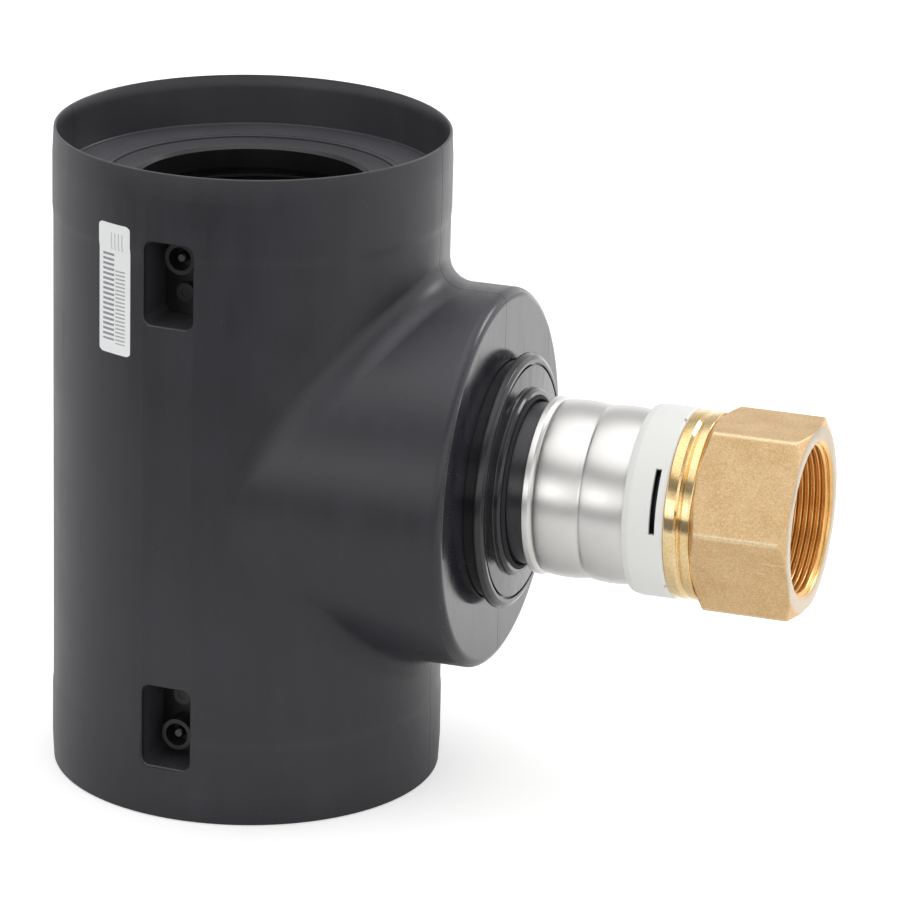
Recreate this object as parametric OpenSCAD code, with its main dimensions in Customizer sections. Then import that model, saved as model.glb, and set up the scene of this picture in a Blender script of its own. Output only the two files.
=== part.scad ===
// Pre-insulated transition tee: a fusion-welded run inside a jacket, and a branch that ends in
// a pressed sleeve and a brass adapter with an internal pipe thread.
// Frame: Z runs up the run axis from the lower rim, X runs out along the branch axis.

/* [Jacket run] */
// Outer diameter of the jacket at its end collars
jacket_od = 155; // [150:0.5:162]
// Length of the jacket from rim to rim
jacket_len = 260; // [250:1:300]
// Wall of the jacket between the collars
jacket_wall = 3.2; // [2.6:0.1:4]
// Wall of the collar round each end recess
collar_wall = 2.5; // [2:0.1:2.8]
// Length of each end collar
collar_len = 31; // [27:0.5:36]
// How far the barrel lies below the collars, on the radius
barrel_relief = 0.35; // [0.2:0.05:0.6]
// Length of the slope from collar to barrel
collar_slope = 3; // [2:0.5:5]
// Depth of the recess at each end
recess_depth = 20; // [15:0.5:20.5]
// Length of the lead-in inside each rim
lead_in_len = 5; // [3:0.5:8]
// How far the lead-in opens the rim, on the radius
lead_in = 0.8; // [0.4:0.1:1.2]
// Inward draft of the outer rim, on the radius
rim_draft = 0.5; // [0.2:0.1:0.8]
// Length over which the rim draft runs
rim_draft_len = 10; // [6:0.5:14]
// Width of the flat strip that joins the two windows
strip_w = 20.6; // [14:0.2:26]

/* [Jacket branch] */
// Outer diameter of the jacket round the branch
branch_od = 149; // [140:0.5:152]
// Distance from the run axis to the jacket's branch face
face_x = 104.6; // [101:0.2:112]
// Thickness of the jacket's branch face
face_wall = 3.4; // [2.6:0.1:5]
// Radius of the rounded edge of the branch face
face_edge_r = 4; // [3:0.25:6]
// Radius of the saddle blend above and below the branch
saddle_r = 10; // [8:0.5:14]
// Radius of the saddle blend at the branch's sides
saddle_side_r = 32; // [24:1:40]
// Radius of the opening in the branch face
face_hole_r = 46.6; // [44:0.1:50]

/* [Windows] */
// Width of each window
window_w = 20.6; // [16:0.2:24]
// Height of each window
window_h = 33; // [28:0.5:33]
// Corner radius of each window
window_r = 3.5; // [2:0.25:6]
// Turn of the windows from square to the branch
window_turn = 3.5; // [0:0.5:8]
// Centre of the upper window below the upper rim
upper_window_in = 43.8; // [40:0.2:48]
// Centre of the lower window above the lower rim
lower_window_in = 37.4; // [37.2:0.2:42]
// Wall of the pocket behind each window
pocket_wall = 1.6; // [1.2:0.1:2]

/* [End rings] */
// Thickness of the ring that closes the foam at each end
end_ring_t = 4; // [3:0.25:6]
// Distance from the socket to the fine groove in the ring's face
end_step_w = 2.4; // [1.6:0.1:4]
// Width of that groove
end_groove_w = 0.8; // [0.4:0.1:1.2]
// Clearance of the ring in the jacket, on the radius
end_ring_fit = 0.05; // [0:0.05:0.2]

/* [Inner tee] */
// Outer diameter of the pipe that goes into each run socket
run_pipe_od = 90; // [88:0.5:92]
// Clearance of that pipe in the socket, on the radius
socket_fit = 0.3; // [0.1:0.05:0.6]
// Wall of the socket
socket_wall = 11.7; // [10:0.1:13]
// Length of the socket bore
socket_len = 62; // [55:1:66]
// Size of the chamfer at the socket mouth
socket_chamfer = 1.4; // [0.8:0.1:2.5]
// Height of the socket face below the end ring's face
socket_drop = 0.6; // [0.3:0.1:1.5]
// Bore of the run between its two sockets
run_bore_d = 73.6; // [66:0.2:78]
// Outer diameter of the boss that the branch grows from
boss_od = 80; // [76:1:86]
// Length of the boss from the run axis
boss_x = 70; // [66:1:74]
// Length of the taper from boss to pipe
boss_taper = 9; // [6:0.5:10]
// Weld between the tee and the branch pipe, from the run axis
weld_x = 86; // [84:1:90]

/* [Fusion parts] */
// Wire diameter of the heating coils
wire_d = 1.1; // [0.9:0.1:1.3]
// Pitch of the heating coils
coil_pitch = 4; // [3.5:0.25:5]
// Turns of each heating coil
coil_turns = 6; // [5:1:7]
// Depth of the coils below the socket's bore
coil_depth = 0.25; // [0.15:0.05:0.4]
// Width of the land between the socket mouth and the coil
coil_land = 9; // [7:0.5:12]
// Outer diameter of each terminal shroud
shroud_od = 12.6; // [11.4:0.2:13]
// Wall of each terminal shroud
shroud_wall = 1.7; // [1:0.1:2]
// Distance from the run axis to the shroud's end
shroud_reach = 66; // [64:0.5:69]
// Depth of the shroud
shroud_depth = 7.5; // [6:0.25:8]
// Diameter of the terminal pin
terminal_d = 4; // [3:0.1:5]
// Distance from the shroud's end to the pin's tip
terminal_in = 1.5; // [1:0.25:3]
// Size of the chamfer at the pin's tip
terminal_edge = 0.6; // [0.3:0.1:0.9]
// Diameter of the terminal's shank in the socket wall
shank_d = 2.4; // [1.8:0.1:2.8]
// Centre of the upper terminal below the upper rim
upper_terminal_in = 35.9; // [34:0.1:38]
// Centre of the lower terminal above the lower rim
lower_terminal_in = 31; // [29:0.1:33]
// Distance from each terminal to its fusion indicator
indicator_step = 14.6; // [13:0.2:16]
// Diameter of the boss round each fusion indicator
indicator_boss_d = 7.4; // [6:0.2:8]
// Diameter of each fusion indicator
indicator_d = 3; // [2:0.2:4]
// Distance from the run axis to the indicator boss's end
indicator_reach = 61; // [59:0.5:63]

/* [Branch pipe] */
// Outer diameter of the branch pipe
pipe_od = 63; // [60:0.5:66]
// Wall of the branch pipe
pipe_wall = 5.8; // [5:0.1:6.5]
// End of the branch pipe from the run axis
pipe_end_x = 179; // [178:0.25:180]
// How far the weld bead stands out of the pipe
weld_bead = 1.8; // [1:0.1:2.2]

/* [Branch cap] */
// Radius of the flange of the branch cap
cap_flange_r = 50; // [49:0.25:53]
// Length of the neck between the branch face and the flange
cap_neck = 4.9; // [4:0.1:6.5]
// Thickness of the flange
cap_flange_t = 3.6; // [3:0.1:5]
// Size of the slope round the flange's front
cap_bevel = 2.4; // [1.5:0.1:2.8]
// Radius of the fine groove in the cap's front
cap_groove_r = 46.2; // [44:0.1:46.8]
// Width of that groove
cap_groove_w = 0.9; // [0.6:0.1:1.4]
// Depth of that groove
cap_groove_t = 1.5; // [1:0.1:2]
// Radius of the raised collar round the seal
cap_collar_r = 36.7; // [36:0.1:38]
// Height of that collar
cap_collar_t = 2.8; // [2:0.1:4]
// Size of the small chamfers on the cap's plug and collar
cap_edge = 1; // [0.6:0.1:1.2]
// How far the cap reaches in behind the branch face
cap_plug = 4; // [3:0.5:6]
// Outer radius of the lip seal
seal_r = 33.9; // [33.4:0.1:34.4]
// How far the lip seal stands out of the collar
seal_lip = 0.9; // [0.5:0.1:1.5]

/* [Press sleeve] */
// Start of the sleeve from the run axis
sleeve_x0 = 123.3; // [121:0.1:125]
// Wall of the sleeve
sleeve_wall = 1.7; // [1.4:0.1:2]
// Clearance of the sleeve's waist over the pipe
sleeve_fit = 0.2; // [0.1:0.05:0.3]
// Outer radius of the flared ring at the sleeve's start
flare_r = 34.7; // [34.2:0.1:36]
// Width of that flared ring
flare_w = 4; // [3:0.1:5]
// Size of the rounding at the flared ring's edges
flare_edge = 0.55; // [0.3:0.05:0.8]
// Width of each of the two barrels
barrel_w = 18.3; // [17:0.1:18.6]
// How far each barrel swells above the waist
barrel_swell = 1.1; // [0.7:0.1:1.6]
// Fullness of each barrel's curve, fuller at a smaller value
barrel_curve = 0.6; // [0.5:0.05:1]

/* [Slotted ring] */
// Outer radius of the ring
ring_r = 37.1; // [36.5:0.1:38.5]
// Width of the ring
ring_w = 16.3; // [15.5:0.1:17]
// Size of the bevel on the ring's sleeve side
ring_bevel = 1.4; // [0.8:0.1:1.8]
// Size of the chamfer on the ring's brass side
ring_edge = 0.8; // [0.4:0.1:1.2]
// How far the sleeve's end goes into the ring
sleeve_in_ring = 4; // [3:0.25:5]
// Number of viewing slots
slot_n = 3; // [2:1:4]
// Arc of each viewing slot in degrees
slot_arc = 40; // [20:1:44]
// Width of each viewing slot
slot_w = 2.4; // [1.6:0.1:3]
// Distance from the ring's brass side to the slots
slot_in = 2.9; // [2.5:0.1:4]
// Turn of the first slot's middle above the front
slot_turn = 18; // [0:1:40]
// Width of each small notch between the slots
notch_w = 2.2; // [1.5:0.1:3]
// Depth of each small notch
notch_t = 1.1; // [0.8:0.1:1.6]

/* [Brass adapter] */
// Start of the brass collar from the run axis
brass_x = 180.5; // [180:0.25:181]
// Outer radius of the collar
collar_r = 36.6; // [35.8:0.1:37.4]
// Width of the collar
collar_w = 10.4; // [9:0.2:12]
// Size of the chamfers on the collar, and of the gap before the hexagon
collar_edge = 0.6; // [0.4:0.1:0.8]
// Depth of the groove in the collar
vee_depth = 1.6; // [1:0.1:2]
// Width of that groove
vee_w = 3; // [2:0.1:4]
// Distance from the collar's start to the middle of the groove
vee_in = 5.7; // [4.6:0.1:6]
// Width over the flats of the hexagon
hex_af = 71; // [69:0.5:75]
// Turn of the hexagon's corner above the front
hex_turn = 3.25; // [0:0.25:30]
// Length of the adapter from the collar's start to its face
adapter_len = 48.7; // [45:0.1:54]
// How far the flat face reaches past the middle of the hexagon's flats
face_over = 0.5; // [0.1:0.1:1]
// Angle of the chamfer on the hexagon
hex_chamfer = 27; // [20:1:36]
// Minor diameter of the pipe thread
thread_minor_d = 56.66; // [54:0.02:58]
// Length of the thread
thread_len = 24; // [22:0.5:26]
// Length of the taper from the nipple's bore to the thread
bore_taper = 6; // [4:0.5:8]
// Diameter of the chamfer at the thread's mouth
mouth_d = 60.4; // [60:0.1:62]
// Bore of the adapter's nipple
nipple_bore_d = 42; // [38:0.5:43]
// Clearance of the nipple in the pipe, on the radius
nipple_fit = 0.3; // [0.15:0.05:0.5]
// Start of the nipple from the run axis
nipple_x = 128; // [126:0.5:131]
// Size of the chamfer at the nipple's tip
nipple_edge = 1; // [0.5:0.1:1.5]
// Distance from the nipple's start to its first sealing ring
seal_in = 10; // [8:0.5:12]
// Distance between the two sealing rings
seal_step = 16; // [12:0.5:17]
// Plain stretch of the nipple on each side of the barbs
barb_land = 5; // [4:0.5:7]
// Number of barbs on the nipple
barb_n = 6; // [4:1:7]
// Depth of each barb
barb_t = 0.7; // [0.4:0.1:1]
// Cord diameter of the two sealing rings
seal_cord = 2.4; // [2:0.1:2.6]

/* [Label] */
// Width of the label
label_w = 16; // [10:0.5:17]
// Height of the label
label_h = 51.5; // [40:0.5:56]
// Thickness of the label
label_t = 0.25; // [0.2:0.05:0.4]
// Centre of the label below the upper rim
label_in = 49; // [46:0.1:54]
// Turn of the label's middle from the windows
label_turn = 18; // [18:0.2:22]
// Corner radius of the label
label_r = 1.6; // [1:0.1:3]

/* [Hidden] */
// Gap that keeps one moulded piece clear of the next
fit = 0.2;
// Gap between a coil and the floor of its zone in the socket
coil_fit = 0.05;
// Clearance of a sealing ring in its seat and in the pipe
seal_fit = 0.05;
// Small length that carries a cut past a face
past = 1;
// Steps of the saddle blend round the branch and across the blend
saddle_steps = 72;
saddle_arc_steps = 6;
// How far the blend's edges are let into the faces that it joins
let_in = 0.12;
// How much smaller the branch edge's radius is inside the jacket than outside
face_edge_in = 1;
// Radius of the weld bead's section as a share of its height
bead_share = 1.5;
// Share of one barb's length that its slope takes
barb_slope = 0.8;
// Steps of one barrel of the sleeve
barrel_steps = 12;
// Steps of one turn of a coil and sides of its wire
coil_steps = 36;
coil_sides = 5;

rim_r = jacket_od / 2;
barrel_r = rim_r - barrel_relief;
recess_r = rim_r - collar_wall;
branch_z = jacket_len / 2;
branch_r = branch_od / 2;
window_dir = -90 - window_turn;
strip_flat = sqrt(pow(barrel_r, 2) - pow(strip_w / 2, 2));
upper_window_z = jacket_len - upper_window_in;
lower_window_z = lower_window_in;
upper_terminal_z = jacket_len - upper_terminal_in;
lower_terminal_z = lower_terminal_in;
socket_r = run_pipe_od / 2 + socket_fit;
socket_or = socket_r + socket_wall;
socket_z = recess_depth + socket_drop;
run_bore_r = run_bore_d / 2;
boss_r = boss_od / 2;
pipe_r = pipe_od / 2;
pipe_bore_r = pipe_r - pipe_wall;
bead_r = weld_bead * bead_share;
coil_r = socket_r + wire_d / 2 + coil_depth;
coil_zone_r = coil_r + wire_d / 2 + coil_fit;
coil_zone_len = coil_turns * coil_pitch + 2 * wire_d;
coil_z = socket_z + coil_land;
waist_r = pipe_r + sleeve_fit + sleeve_wall;
ring_x = brass_x - ring_w;
sleeve_x1 = ring_x + sleeve_in_ring;
cap_x = face_x + cap_neck;
cap_front = cap_x + cap_flange_t;
hex_r = hex_af / 2 / cos(30);
adapter_x = brass_x + adapter_len;
hex_x = brass_x + collar_w + collar_edge;
nipple_r = pipe_bore_r - nipple_fit;

// Puts children, drawn round the Z axis, on the branch axis with their Z along X
module on_branch() {
    translate([0, 0, branch_z]) rotate([0, 90, 0]) children();
}

// Puts children, drawn round the Z axis, on a spoke that leaves the run axis at a height
module on_spoke(z, direction = window_dir) {
    translate([0, 0, z]) rotate([0, 0, direction]) rotate([90, 0, 90]) children();
}

// A rectangle with round corners, centred
module rounded_plate(w, h, r) {
    square([w - 2 * r, h], center = true);
    square([w, h - 2 * r], center = true);
    for (x = [-1, 1], y = [-1, 1]) translate([x * (w / 2 - r), y * (h / 2 - r)]) circle(r, $fn = 48);
}

// A ring with a square section, drawn round the Z axis from height z0 to z1
module ring(r0, r1, z0, z1) {
    rotate_extrude($fn = 120) translate([r0, z0]) square([r1 - r0, z1 - z0]);
}

// Radius of the saddle blend at an angle round the branch, measured from the top
function blend_r(a) = saddle_r + (saddle_side_r - saddle_r) * pow(sin(a), 4);

// Centre of the ball that rolls in the corner between the run and the branch
function ball(a, run, branch, r) =
    let (y = (branch + r) * sin(a)) [sqrt(pow(run + r, 2) - pow(y, 2)), y, (branch + r) * cos(a)];

// Section of the blend at one angle: its edge on the run, the arc, its edge on the branch, and
// a corner inside both
function blend_section(a, run, branch, r) =
    let (
        c = ball(a, run, branch, r),
        t = (run - let_in) / (run + r),
        b = (branch - let_in) / (branch + r),
        on_run = [c[0] * t, c[1] * t, c[2]],
        on_branch = [c[0], c[1] * b, c[2] * b],
        u = (on_run - c) / norm(on_run - c),
        v = (on_branch - c) / norm(on_branch - c),
        spread = acos(u * v),
        w = (v - u * cos(spread)) / sin(spread),
        inner_y = (branch - jacket_wall) * sin(a)
    )
    concat(
        [on_run],
        [for (k = [1:saddle_arc_steps - 1]) c + r * (u * cos(spread * k / saddle_arc_steps)
            + w * sin(spread * k / saddle_arc_steps))],
        [on_branch],
        [[sqrt(pow(run - jacket_wall, 2) - pow(inner_y, 2)), inner_y, (branch - jacket_wall) * cos(a)]]
    );

// The material that blends the branch into the run, all round
module saddle(run, branch, inset) {
    n = saddle_steps;
    m = saddle_arc_steps + 2;
    points = [for (i = [0:n - 1]) each blend_section(360 * (i + 0.5) / n, run, branch,
        blend_r(360 * (i + 0.5) / n) + inset)];
    faces = [for (i = [0:n - 1], j = [0:m - 1]) let (k = (i + 1) % n, q = (j + 1) % m)
        each [[i * m + j, k * m + j, i * m + q], [k * m + j, k * m + q, i * m + q]]];
    translate([0, 0, branch_z]) polyhedron(points, faces);
}

// Outer form of the jacket run, grown by a small amount
module run_form(grow = 0) {
    rotate_extrude($fn = 180) polygon([
        [0, 0], [rim_r - rim_draft + grow, 0], [rim_r + grow, rim_draft_len],
        [rim_r + grow, collar_len], [barrel_r + grow, collar_len + collar_slope],
        [barrel_r + grow, jacket_len - collar_len - collar_slope],
        [rim_r + grow, jacket_len - collar_len], [rim_r + grow, jacket_len - rim_draft_len],
        [rim_r - rim_draft + grow, jacket_len], [0, jacket_len]]);
}

// Form of the branch: a round bar with a rounded edge at its end
module branch_form(r, x1, edge) {
    on_branch() rotate_extrude($fn = 180) {
        square([r, x1 - edge]);
        square([r - edge, x1]);
        translate([r - edge, x1 - edge]) circle(edge, $fn = 60);
    }
}

// The hollow inside the jacket, drawn inwards from its wall by a gap
module jacket_hollow(gap = 0) {
    run = barrel_r - jacket_wall - gap;
    branch = branch_r - jacket_wall - gap;
    translate([0, 0, recess_depth + gap])
        cylinder(r = run, h = jacket_len - 2 * (recess_depth + gap), $fn = 180);
    branch_form(branch, face_x - face_wall - gap, face_edge_r - face_edge_in);
    saddle(run, branch, jacket_wall + gap);
}

// The recess in one end of the jacket, with its lead-in
module end_recess() {
    rotate_extrude($fn = 180) polygon([
        [0, -past], [recess_r + lead_in, -past], [recess_r + lead_in, 0],
        [recess_r, lead_in_len], [recess_r, recess_depth], [0, recess_depth]]);
}

// Draws children at the lower end, and mirrored at the upper end
module at_both_ends() {
    children();
    translate([0, 0, jacket_len]) mirror([0, 0, 1]) children();
}

// The whole jacket before it is parted into its two halves
module jacket_body() {
    difference() {
        union() {
            difference() {
                run_form();
                rotate([0, 0, window_dir]) translate([strip_flat, -rim_r, collar_len + collar_slope])
                    cube([rim_r, 2 * rim_r, jacket_len - 2 * (collar_len + collar_slope)]);
            }
            branch_form(branch_r, face_x, face_edge_r);
            saddle(barrel_r, branch_r, 0);
        }
        jacket_hollow();
        at_both_ends() end_recess();
        on_branch() cylinder(r = face_hole_r, h = face_x + past, $fn = 120);
    }
}

// One side of the plane in which the jacket is parted
module half_space(side) {
    reach = face_x + rim_r;
    translate([-reach, side > 0 ? 0 : -2 * reach, -past]) cube([2 * reach, 2 * reach, jacket_len + 2 * past]);
}

// The bar that a window and its pocket follow, from the pocket's floor to past the jacket
module window_bar(z, grow = 0, from = 0) {
    on_spoke(z) translate([0, 0, from]) linear_extrude(rim_r + past - from)
        rounded_plate(window_w + 2 * grow, window_h + 2 * grow, window_r + grow);
}

// The pocket behind one window, from the jacket's wall to the inner tee
module pocket(z) {
    difference() {
        intersection() {
            window_bar(z, pocket_wall);
            cylinder(r = barrel_r - jacket_wall / 2, h = jacket_len, $fn = 180);
        }
        cylinder(r = socket_or + fit, h = jacket_len, $fn = 180);
    }
}

module jacket_front() {
    color([0.22, 0.22, 0.24]) difference() {
        union() {
            intersection() { jacket_body(); half_space(-1); }
            pocket(upper_window_z);
            pocket(lower_window_z);
        }
        window_bar(upper_window_z);
        window_bar(lower_window_z);
        at_both_ends() end_recess();
    }
}

module jacket_rear() {
    color([0.21, 0.21, 0.23]) intersection() { jacket_body(); half_space(1); }
}

// Outside of the inner tee, grown by a gap
module inner_tee_form(gap = 0) {
    translate([0, 0, socket_z - gap])
        cylinder(r = socket_or + gap, h = jacket_len - 2 * (socket_z - gap), $fn = 180);
    on_branch() rotate_extrude($fn = 120) polygon([
        [0, 0], [boss_r + gap, 0], [boss_r + gap, boss_x], [pipe_r + gap, boss_x + boss_taper],
        [pipe_r + gap, weld_x], [0, weld_x]]);
}

// The wire that joins the two coils, grown by a gap
module link_wire(gap = 0) {
    r = wire_d / 2 + gap;
    z0 = coil_z + coil_zone_len - wire_d;
    rotate([0, 0, 90]) {
        translate([socket_or + wire_d / 2, 0, z0]) cylinder(r = r, h = jacket_len - 2 * z0, $fn = 24);
        for (z = [z0, jacket_len - z0]) translate([coil_zone_r + fit, 0, z]) rotate([0, 90, 0])
            cylinder(r = r, h = socket_or + wire_d - coil_zone_r - fit + gap, $fn = 24);
    }
}

module insulation() {
    color([0.16, 0.16, 0.17]) difference() {
        jacket_hollow(fit);
        inner_tee_form(fit);
        at_both_ends() translate([0, 0, -past])
            cylinder(r = rim_r, h = recess_depth + end_ring_t + fit + past, $fn = 120);
        on_branch() cylinder(r = pipe_r + weld_bead + fit, h = face_x, $fn = 120);
        on_branch() translate([0, 0, face_x - face_wall - cap_plug - fit])
            cylinder(r = face_hole_r, h = face_wall + cap_plug, $fn = 120);
        for (z = [upper_window_z, lower_window_z]) window_bar(z, pocket_wall + fit);
        link_wire(fit);
    }
}

// The ring that closes the foam at the lower end, notched where a pocket reaches into it
module end_ring(window_in) {
    z1 = recess_depth + end_ring_t;
    pocket_low = window_in - window_h / 2 - pocket_wall - fit;
    difference() {
        rotate_extrude($fn = 180) difference() {
            translate([socket_or + fit, recess_depth])
                square([barrel_r - jacket_wall - end_ring_fit - socket_or - fit, end_ring_t]);
            translate([socket_or + end_step_w, recess_depth]) circle(d = end_groove_w, $fn = 24);
        }
        if (pocket_low < z1) on_spoke(z1) translate([0, 0, socket_or / 2])
            linear_extrude(rim_r) square([window_w + 2 * (pocket_wall + fit), 3 * end_ring_t], center = true);
    }
}

module end_ring_lower() {
    color([0.27, 0.27, 0.29]) end_ring(lower_window_in);
}

module end_ring_upper() {
    color([0.27, 0.27, 0.29]) translate([0, 0, jacket_len]) mirror([0, 0, 1]) end_ring(upper_window_in);
}

// The terminal shroud with its hollow, on a spoke; part 0 is the solid and part 1 the hollow
module shroud(part) {
    if (part == 0) translate([0, 0, socket_r + socket_wall / 2])
        cylinder(d = shroud_od, h = shroud_reach - socket_r - socket_wall / 2, $fn = 60);
    else {
        translate([0, 0, shroud_reach - shroud_depth])
            cylinder(d = shroud_od - 2 * shroud_wall, h = shroud_depth + past, $fn = 60);
        cylinder(d = shank_d, h = shroud_reach, $fn = 36);
    }
}

// The boss of a fusion indicator, on a spoke; part 0 is the solid and part 1 the hole
module indicator_boss(part) {
    if (part == 0) translate([0, 0, socket_r + socket_wall / 2])
        cylinder(d = indicator_boss_d, h = indicator_reach - socket_r - socket_wall / 2, $fn = 48);
    else translate([0, 0, coil_zone_r + socket_wall / 2])
        cylinder(d = indicator_d + fit, h = indicator_reach, $fn = 36);
}

module inner_tee() {
    stop_z = socket_z + socket_len;
    color([0.15, 0.15, 0.16]) difference() {
        union() {
            inner_tee_form();
            for (z = [upper_terminal_z, lower_terminal_z]) on_spoke(z) shroud(0);
            on_spoke(upper_terminal_z - indicator_step) indicator_boss(0);
            on_spoke(lower_terminal_z + indicator_step) indicator_boss(0);
        }
        at_both_ends() rotate_extrude($fn = 180) polygon([
            [0, 0], [socket_r + socket_chamfer, 0], [socket_r + socket_chamfer, socket_z],
            [socket_r, socket_z + socket_chamfer], [socket_r, stop_z], [0, stop_z]]);
        at_both_ends() ring(run_bore_r, coil_zone_r, coil_z, coil_z + coil_zone_len);
        cylinder(r = run_bore_r, h = jacket_len, $fn = 150);
        on_branch() cylinder(r = pipe_bore_r, h = weld_x + past, $fn = 120);
        for (z = [upper_terminal_z, lower_terminal_z]) on_spoke(z) shroud(1);
        on_spoke(upper_terminal_z - indicator_step) indicator_boss(1);
        on_spoke(lower_terminal_z + indicator_step) indicator_boss(1);
        link_wire(fit);
    }
}

// One heating coil, wound round the Z axis from its start height
module coil() {
    n = coil_turns * coil_steps;
    m = coil_sides;
    points = [for (i = [0:n], j = [0:m - 1])
        let (a = 360 * i / coil_steps, s = 360 * j / m, r = coil_r + wire_d / 2 * cos(s))
        [r * cos(a), r * sin(a), coil_pitch * i / coil_steps + wire_d / 2 * sin(s)]];
    sides = [for (i = [0:n - 1], j = [0:m - 1]) let (q = (j + 1) % m)
        each [[i * m + j, i * m + q, (i + 1) * m + j], [i * m + q, (i + 1) * m + q, (i + 1) * m + j]]];
    polyhedron(points, concat([[for (j = [m - 1:-1:0]) j]], sides, [[for (j = [0:m - 1]) n * m + j]]));
}

module coil_lower() {
    color([0.72, 0.45, 0.25]) translate([0, 0, coil_z + wire_d]) rotate([0, 0, window_dir]) coil();
}

module coil_upper() {
    color([0.72, 0.45, 0.25]) translate([0, 0, jacket_len - coil_z - wire_d]) mirror([0, 0, 1])
        rotate([0, 0, window_dir]) coil();
}

module coil_link() {
    color([0.72, 0.45, 0.25]) link_wire();
}

// One terminal: a contact pin in the shroud on a thin shank that reaches the coil
module terminal(z) {
    floor_r = shroud_reach - shroud_depth;
    pin_len = shroud_depth - terminal_in;
    on_spoke(z) {
        translate([0, 0, coil_zone_r]) cylinder(d = shank_d - fit, h = floor_r - coil_zone_r, $fn = 36);
        translate([0, 0, floor_r]) cylinder(d = terminal_d, h = pin_len - terminal_edge, $fn = 36);
        translate([0, 0, floor_r + pin_len - terminal_edge])
            cylinder(d1 = terminal_d, d2 = terminal_d - 2 * terminal_edge, h = terminal_edge, $fn = 36);
    }
}

module terminal_upper() {
    color([0.75, 0.7, 0.55]) terminal(upper_terminal_z);
}

module terminal_lower() {
    color([0.75, 0.7, 0.55]) terminal(lower_terminal_z);
}

// One fusion indicator: a plastic plug in its boss
module indicator(z) {
    on_spoke(z) translate([0, 0, coil_zone_r + socket_wall / 2])
        cylinder(d = indicator_d, h = indicator_reach - coil_zone_r - socket_wall / 2 - fit, $fn = 36);
}

module indicator_upper() {
    color([0.2, 0.2, 0.22]) indicator(upper_terminal_z - indicator_step);
}

module indicator_lower() {
    color([0.2, 0.2, 0.22]) indicator(lower_terminal_z + indicator_step);
}

module branch_cap() {
    plug_r = face_hole_r - fit;
    back = face_x - face_wall - cap_plug;
    color([0.24, 0.24, 0.26]) on_branch() rotate_extrude($fn = 180) difference() {
        polygon([
            [seal_r + fit / 2, back], [plug_r - cap_edge, back], [plug_r, back + cap_edge], [plug_r, cap_x],
            [cap_flange_r, cap_x], [cap_flange_r, cap_front - cap_bevel],
            [cap_flange_r - cap_bevel / 3, cap_front - cap_bevel / 3], [cap_flange_r - cap_bevel, cap_front],
            [cap_collar_r, cap_front], [cap_collar_r, cap_front + cap_collar_t - cap_edge],
            [cap_collar_r - cap_edge, cap_front + cap_collar_t],
            [seal_r + fit / 2, cap_front + cap_collar_t]]);
        translate([cap_groove_r - cap_groove_w, cap_front - cap_groove_t])
            square([cap_groove_w, past + cap_groove_t]);
    }
}

module lip_seal() {
    front = cap_front + cap_collar_t + seal_lip;
    back = face_x - face_wall - cap_plug;
    color([0.1, 0.1, 0.11]) on_branch() rotate_extrude($fn = 150) polygon([
        [pipe_r + fit / 2, back], [seal_r, back], [seal_r, cap_front + cap_collar_t - fit],
        [seal_r - seal_lip, front], [pipe_r + seal_lip, front], [pipe_r + fit / 2, front - 2 * seal_lip]]);
}

module branch_pipe() {
    color([0.14, 0.14, 0.15]) on_branch() difference() {
        union() {
            translate([0, 0, weld_x]) cylinder(r = pipe_r, h = pipe_end_x - weld_x, $fn = 150);
            rotate_extrude($fn = 120) translate([pipe_r - weld_bead / 2, weld_x + bead_r])
                circle(bead_r, $fn = 36);
        }
        translate([0, 0, weld_x - past])
            cylinder(r = pipe_bore_r, h = pipe_end_x - weld_x + 2 * past, $fn = 150);
    }
}

// Outline of the sleeve's outside, one step at a time along one barrel
function barrel(x0) = [for (k = [0:barrel_steps])
    [waist_r + barrel_swell * pow(sin(180 * k / barrel_steps), barrel_curve),
        x0 + barrel_w * k / barrel_steps]];

module press_sleeve() {
    x1 = sleeve_x0 + flare_w;
    outline = concat(barrel(x1), barrel(x1 + barrel_w), [[waist_r, sleeve_x1]]);
    back = [for (k = [len(outline) - 1:-1:0]) [outline[k][0] - sleeve_wall, outline[k][1]]];
    flare = [
        [waist_r - sleeve_wall, sleeve_x0 + sleeve_wall], [flare_r - sleeve_wall / 2, sleeve_x0],
        [flare_r, sleeve_x0 + flare_edge], [flare_r, x1 - 2 * flare_edge],
        [flare_r - flare_edge, x1 - flare_edge]];
    color([0.78, 0.77, 0.74]) on_branch() rotate_extrude($fn = 150) polygon(concat(flare, outline, back));
}

module slotted_ring() {
    x1 = brass_x;
    slot_x = x1 - slot_in - slot_w;
    color([0.9, 0.9, 0.88]) on_branch() difference() {
        rotate_extrude($fn = 150) polygon([
            [pipe_r + fit, sleeve_x1 + fit], [waist_r + fit, sleeve_x1 + fit], [waist_r + fit, ring_x],
            [ring_r - ring_bevel / 2, ring_x], [ring_r, ring_x + 2 * ring_bevel],
            [ring_r, x1 - ring_edge], [ring_r - ring_edge, x1], [pipe_r + fit, x1]]);
        for (k = [0:slot_n - 1]) {
            turn = 90 - slot_turn - 360 * k / slot_n + 180;
            rotate([0, 0, turn - slot_arc / 2]) rotate_extrude(angle = slot_arc, $fn = 120)
                translate([pipe_r, slot_x]) square([ring_r, slot_w]);
            rotate([0, 0, turn + 180 / slot_n]) translate([ring_r - notch_t, -notch_w / 2, x1 - notch_t])
                cube([ring_r, notch_w, 2 * notch_t]);
        }
    }
}

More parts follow.
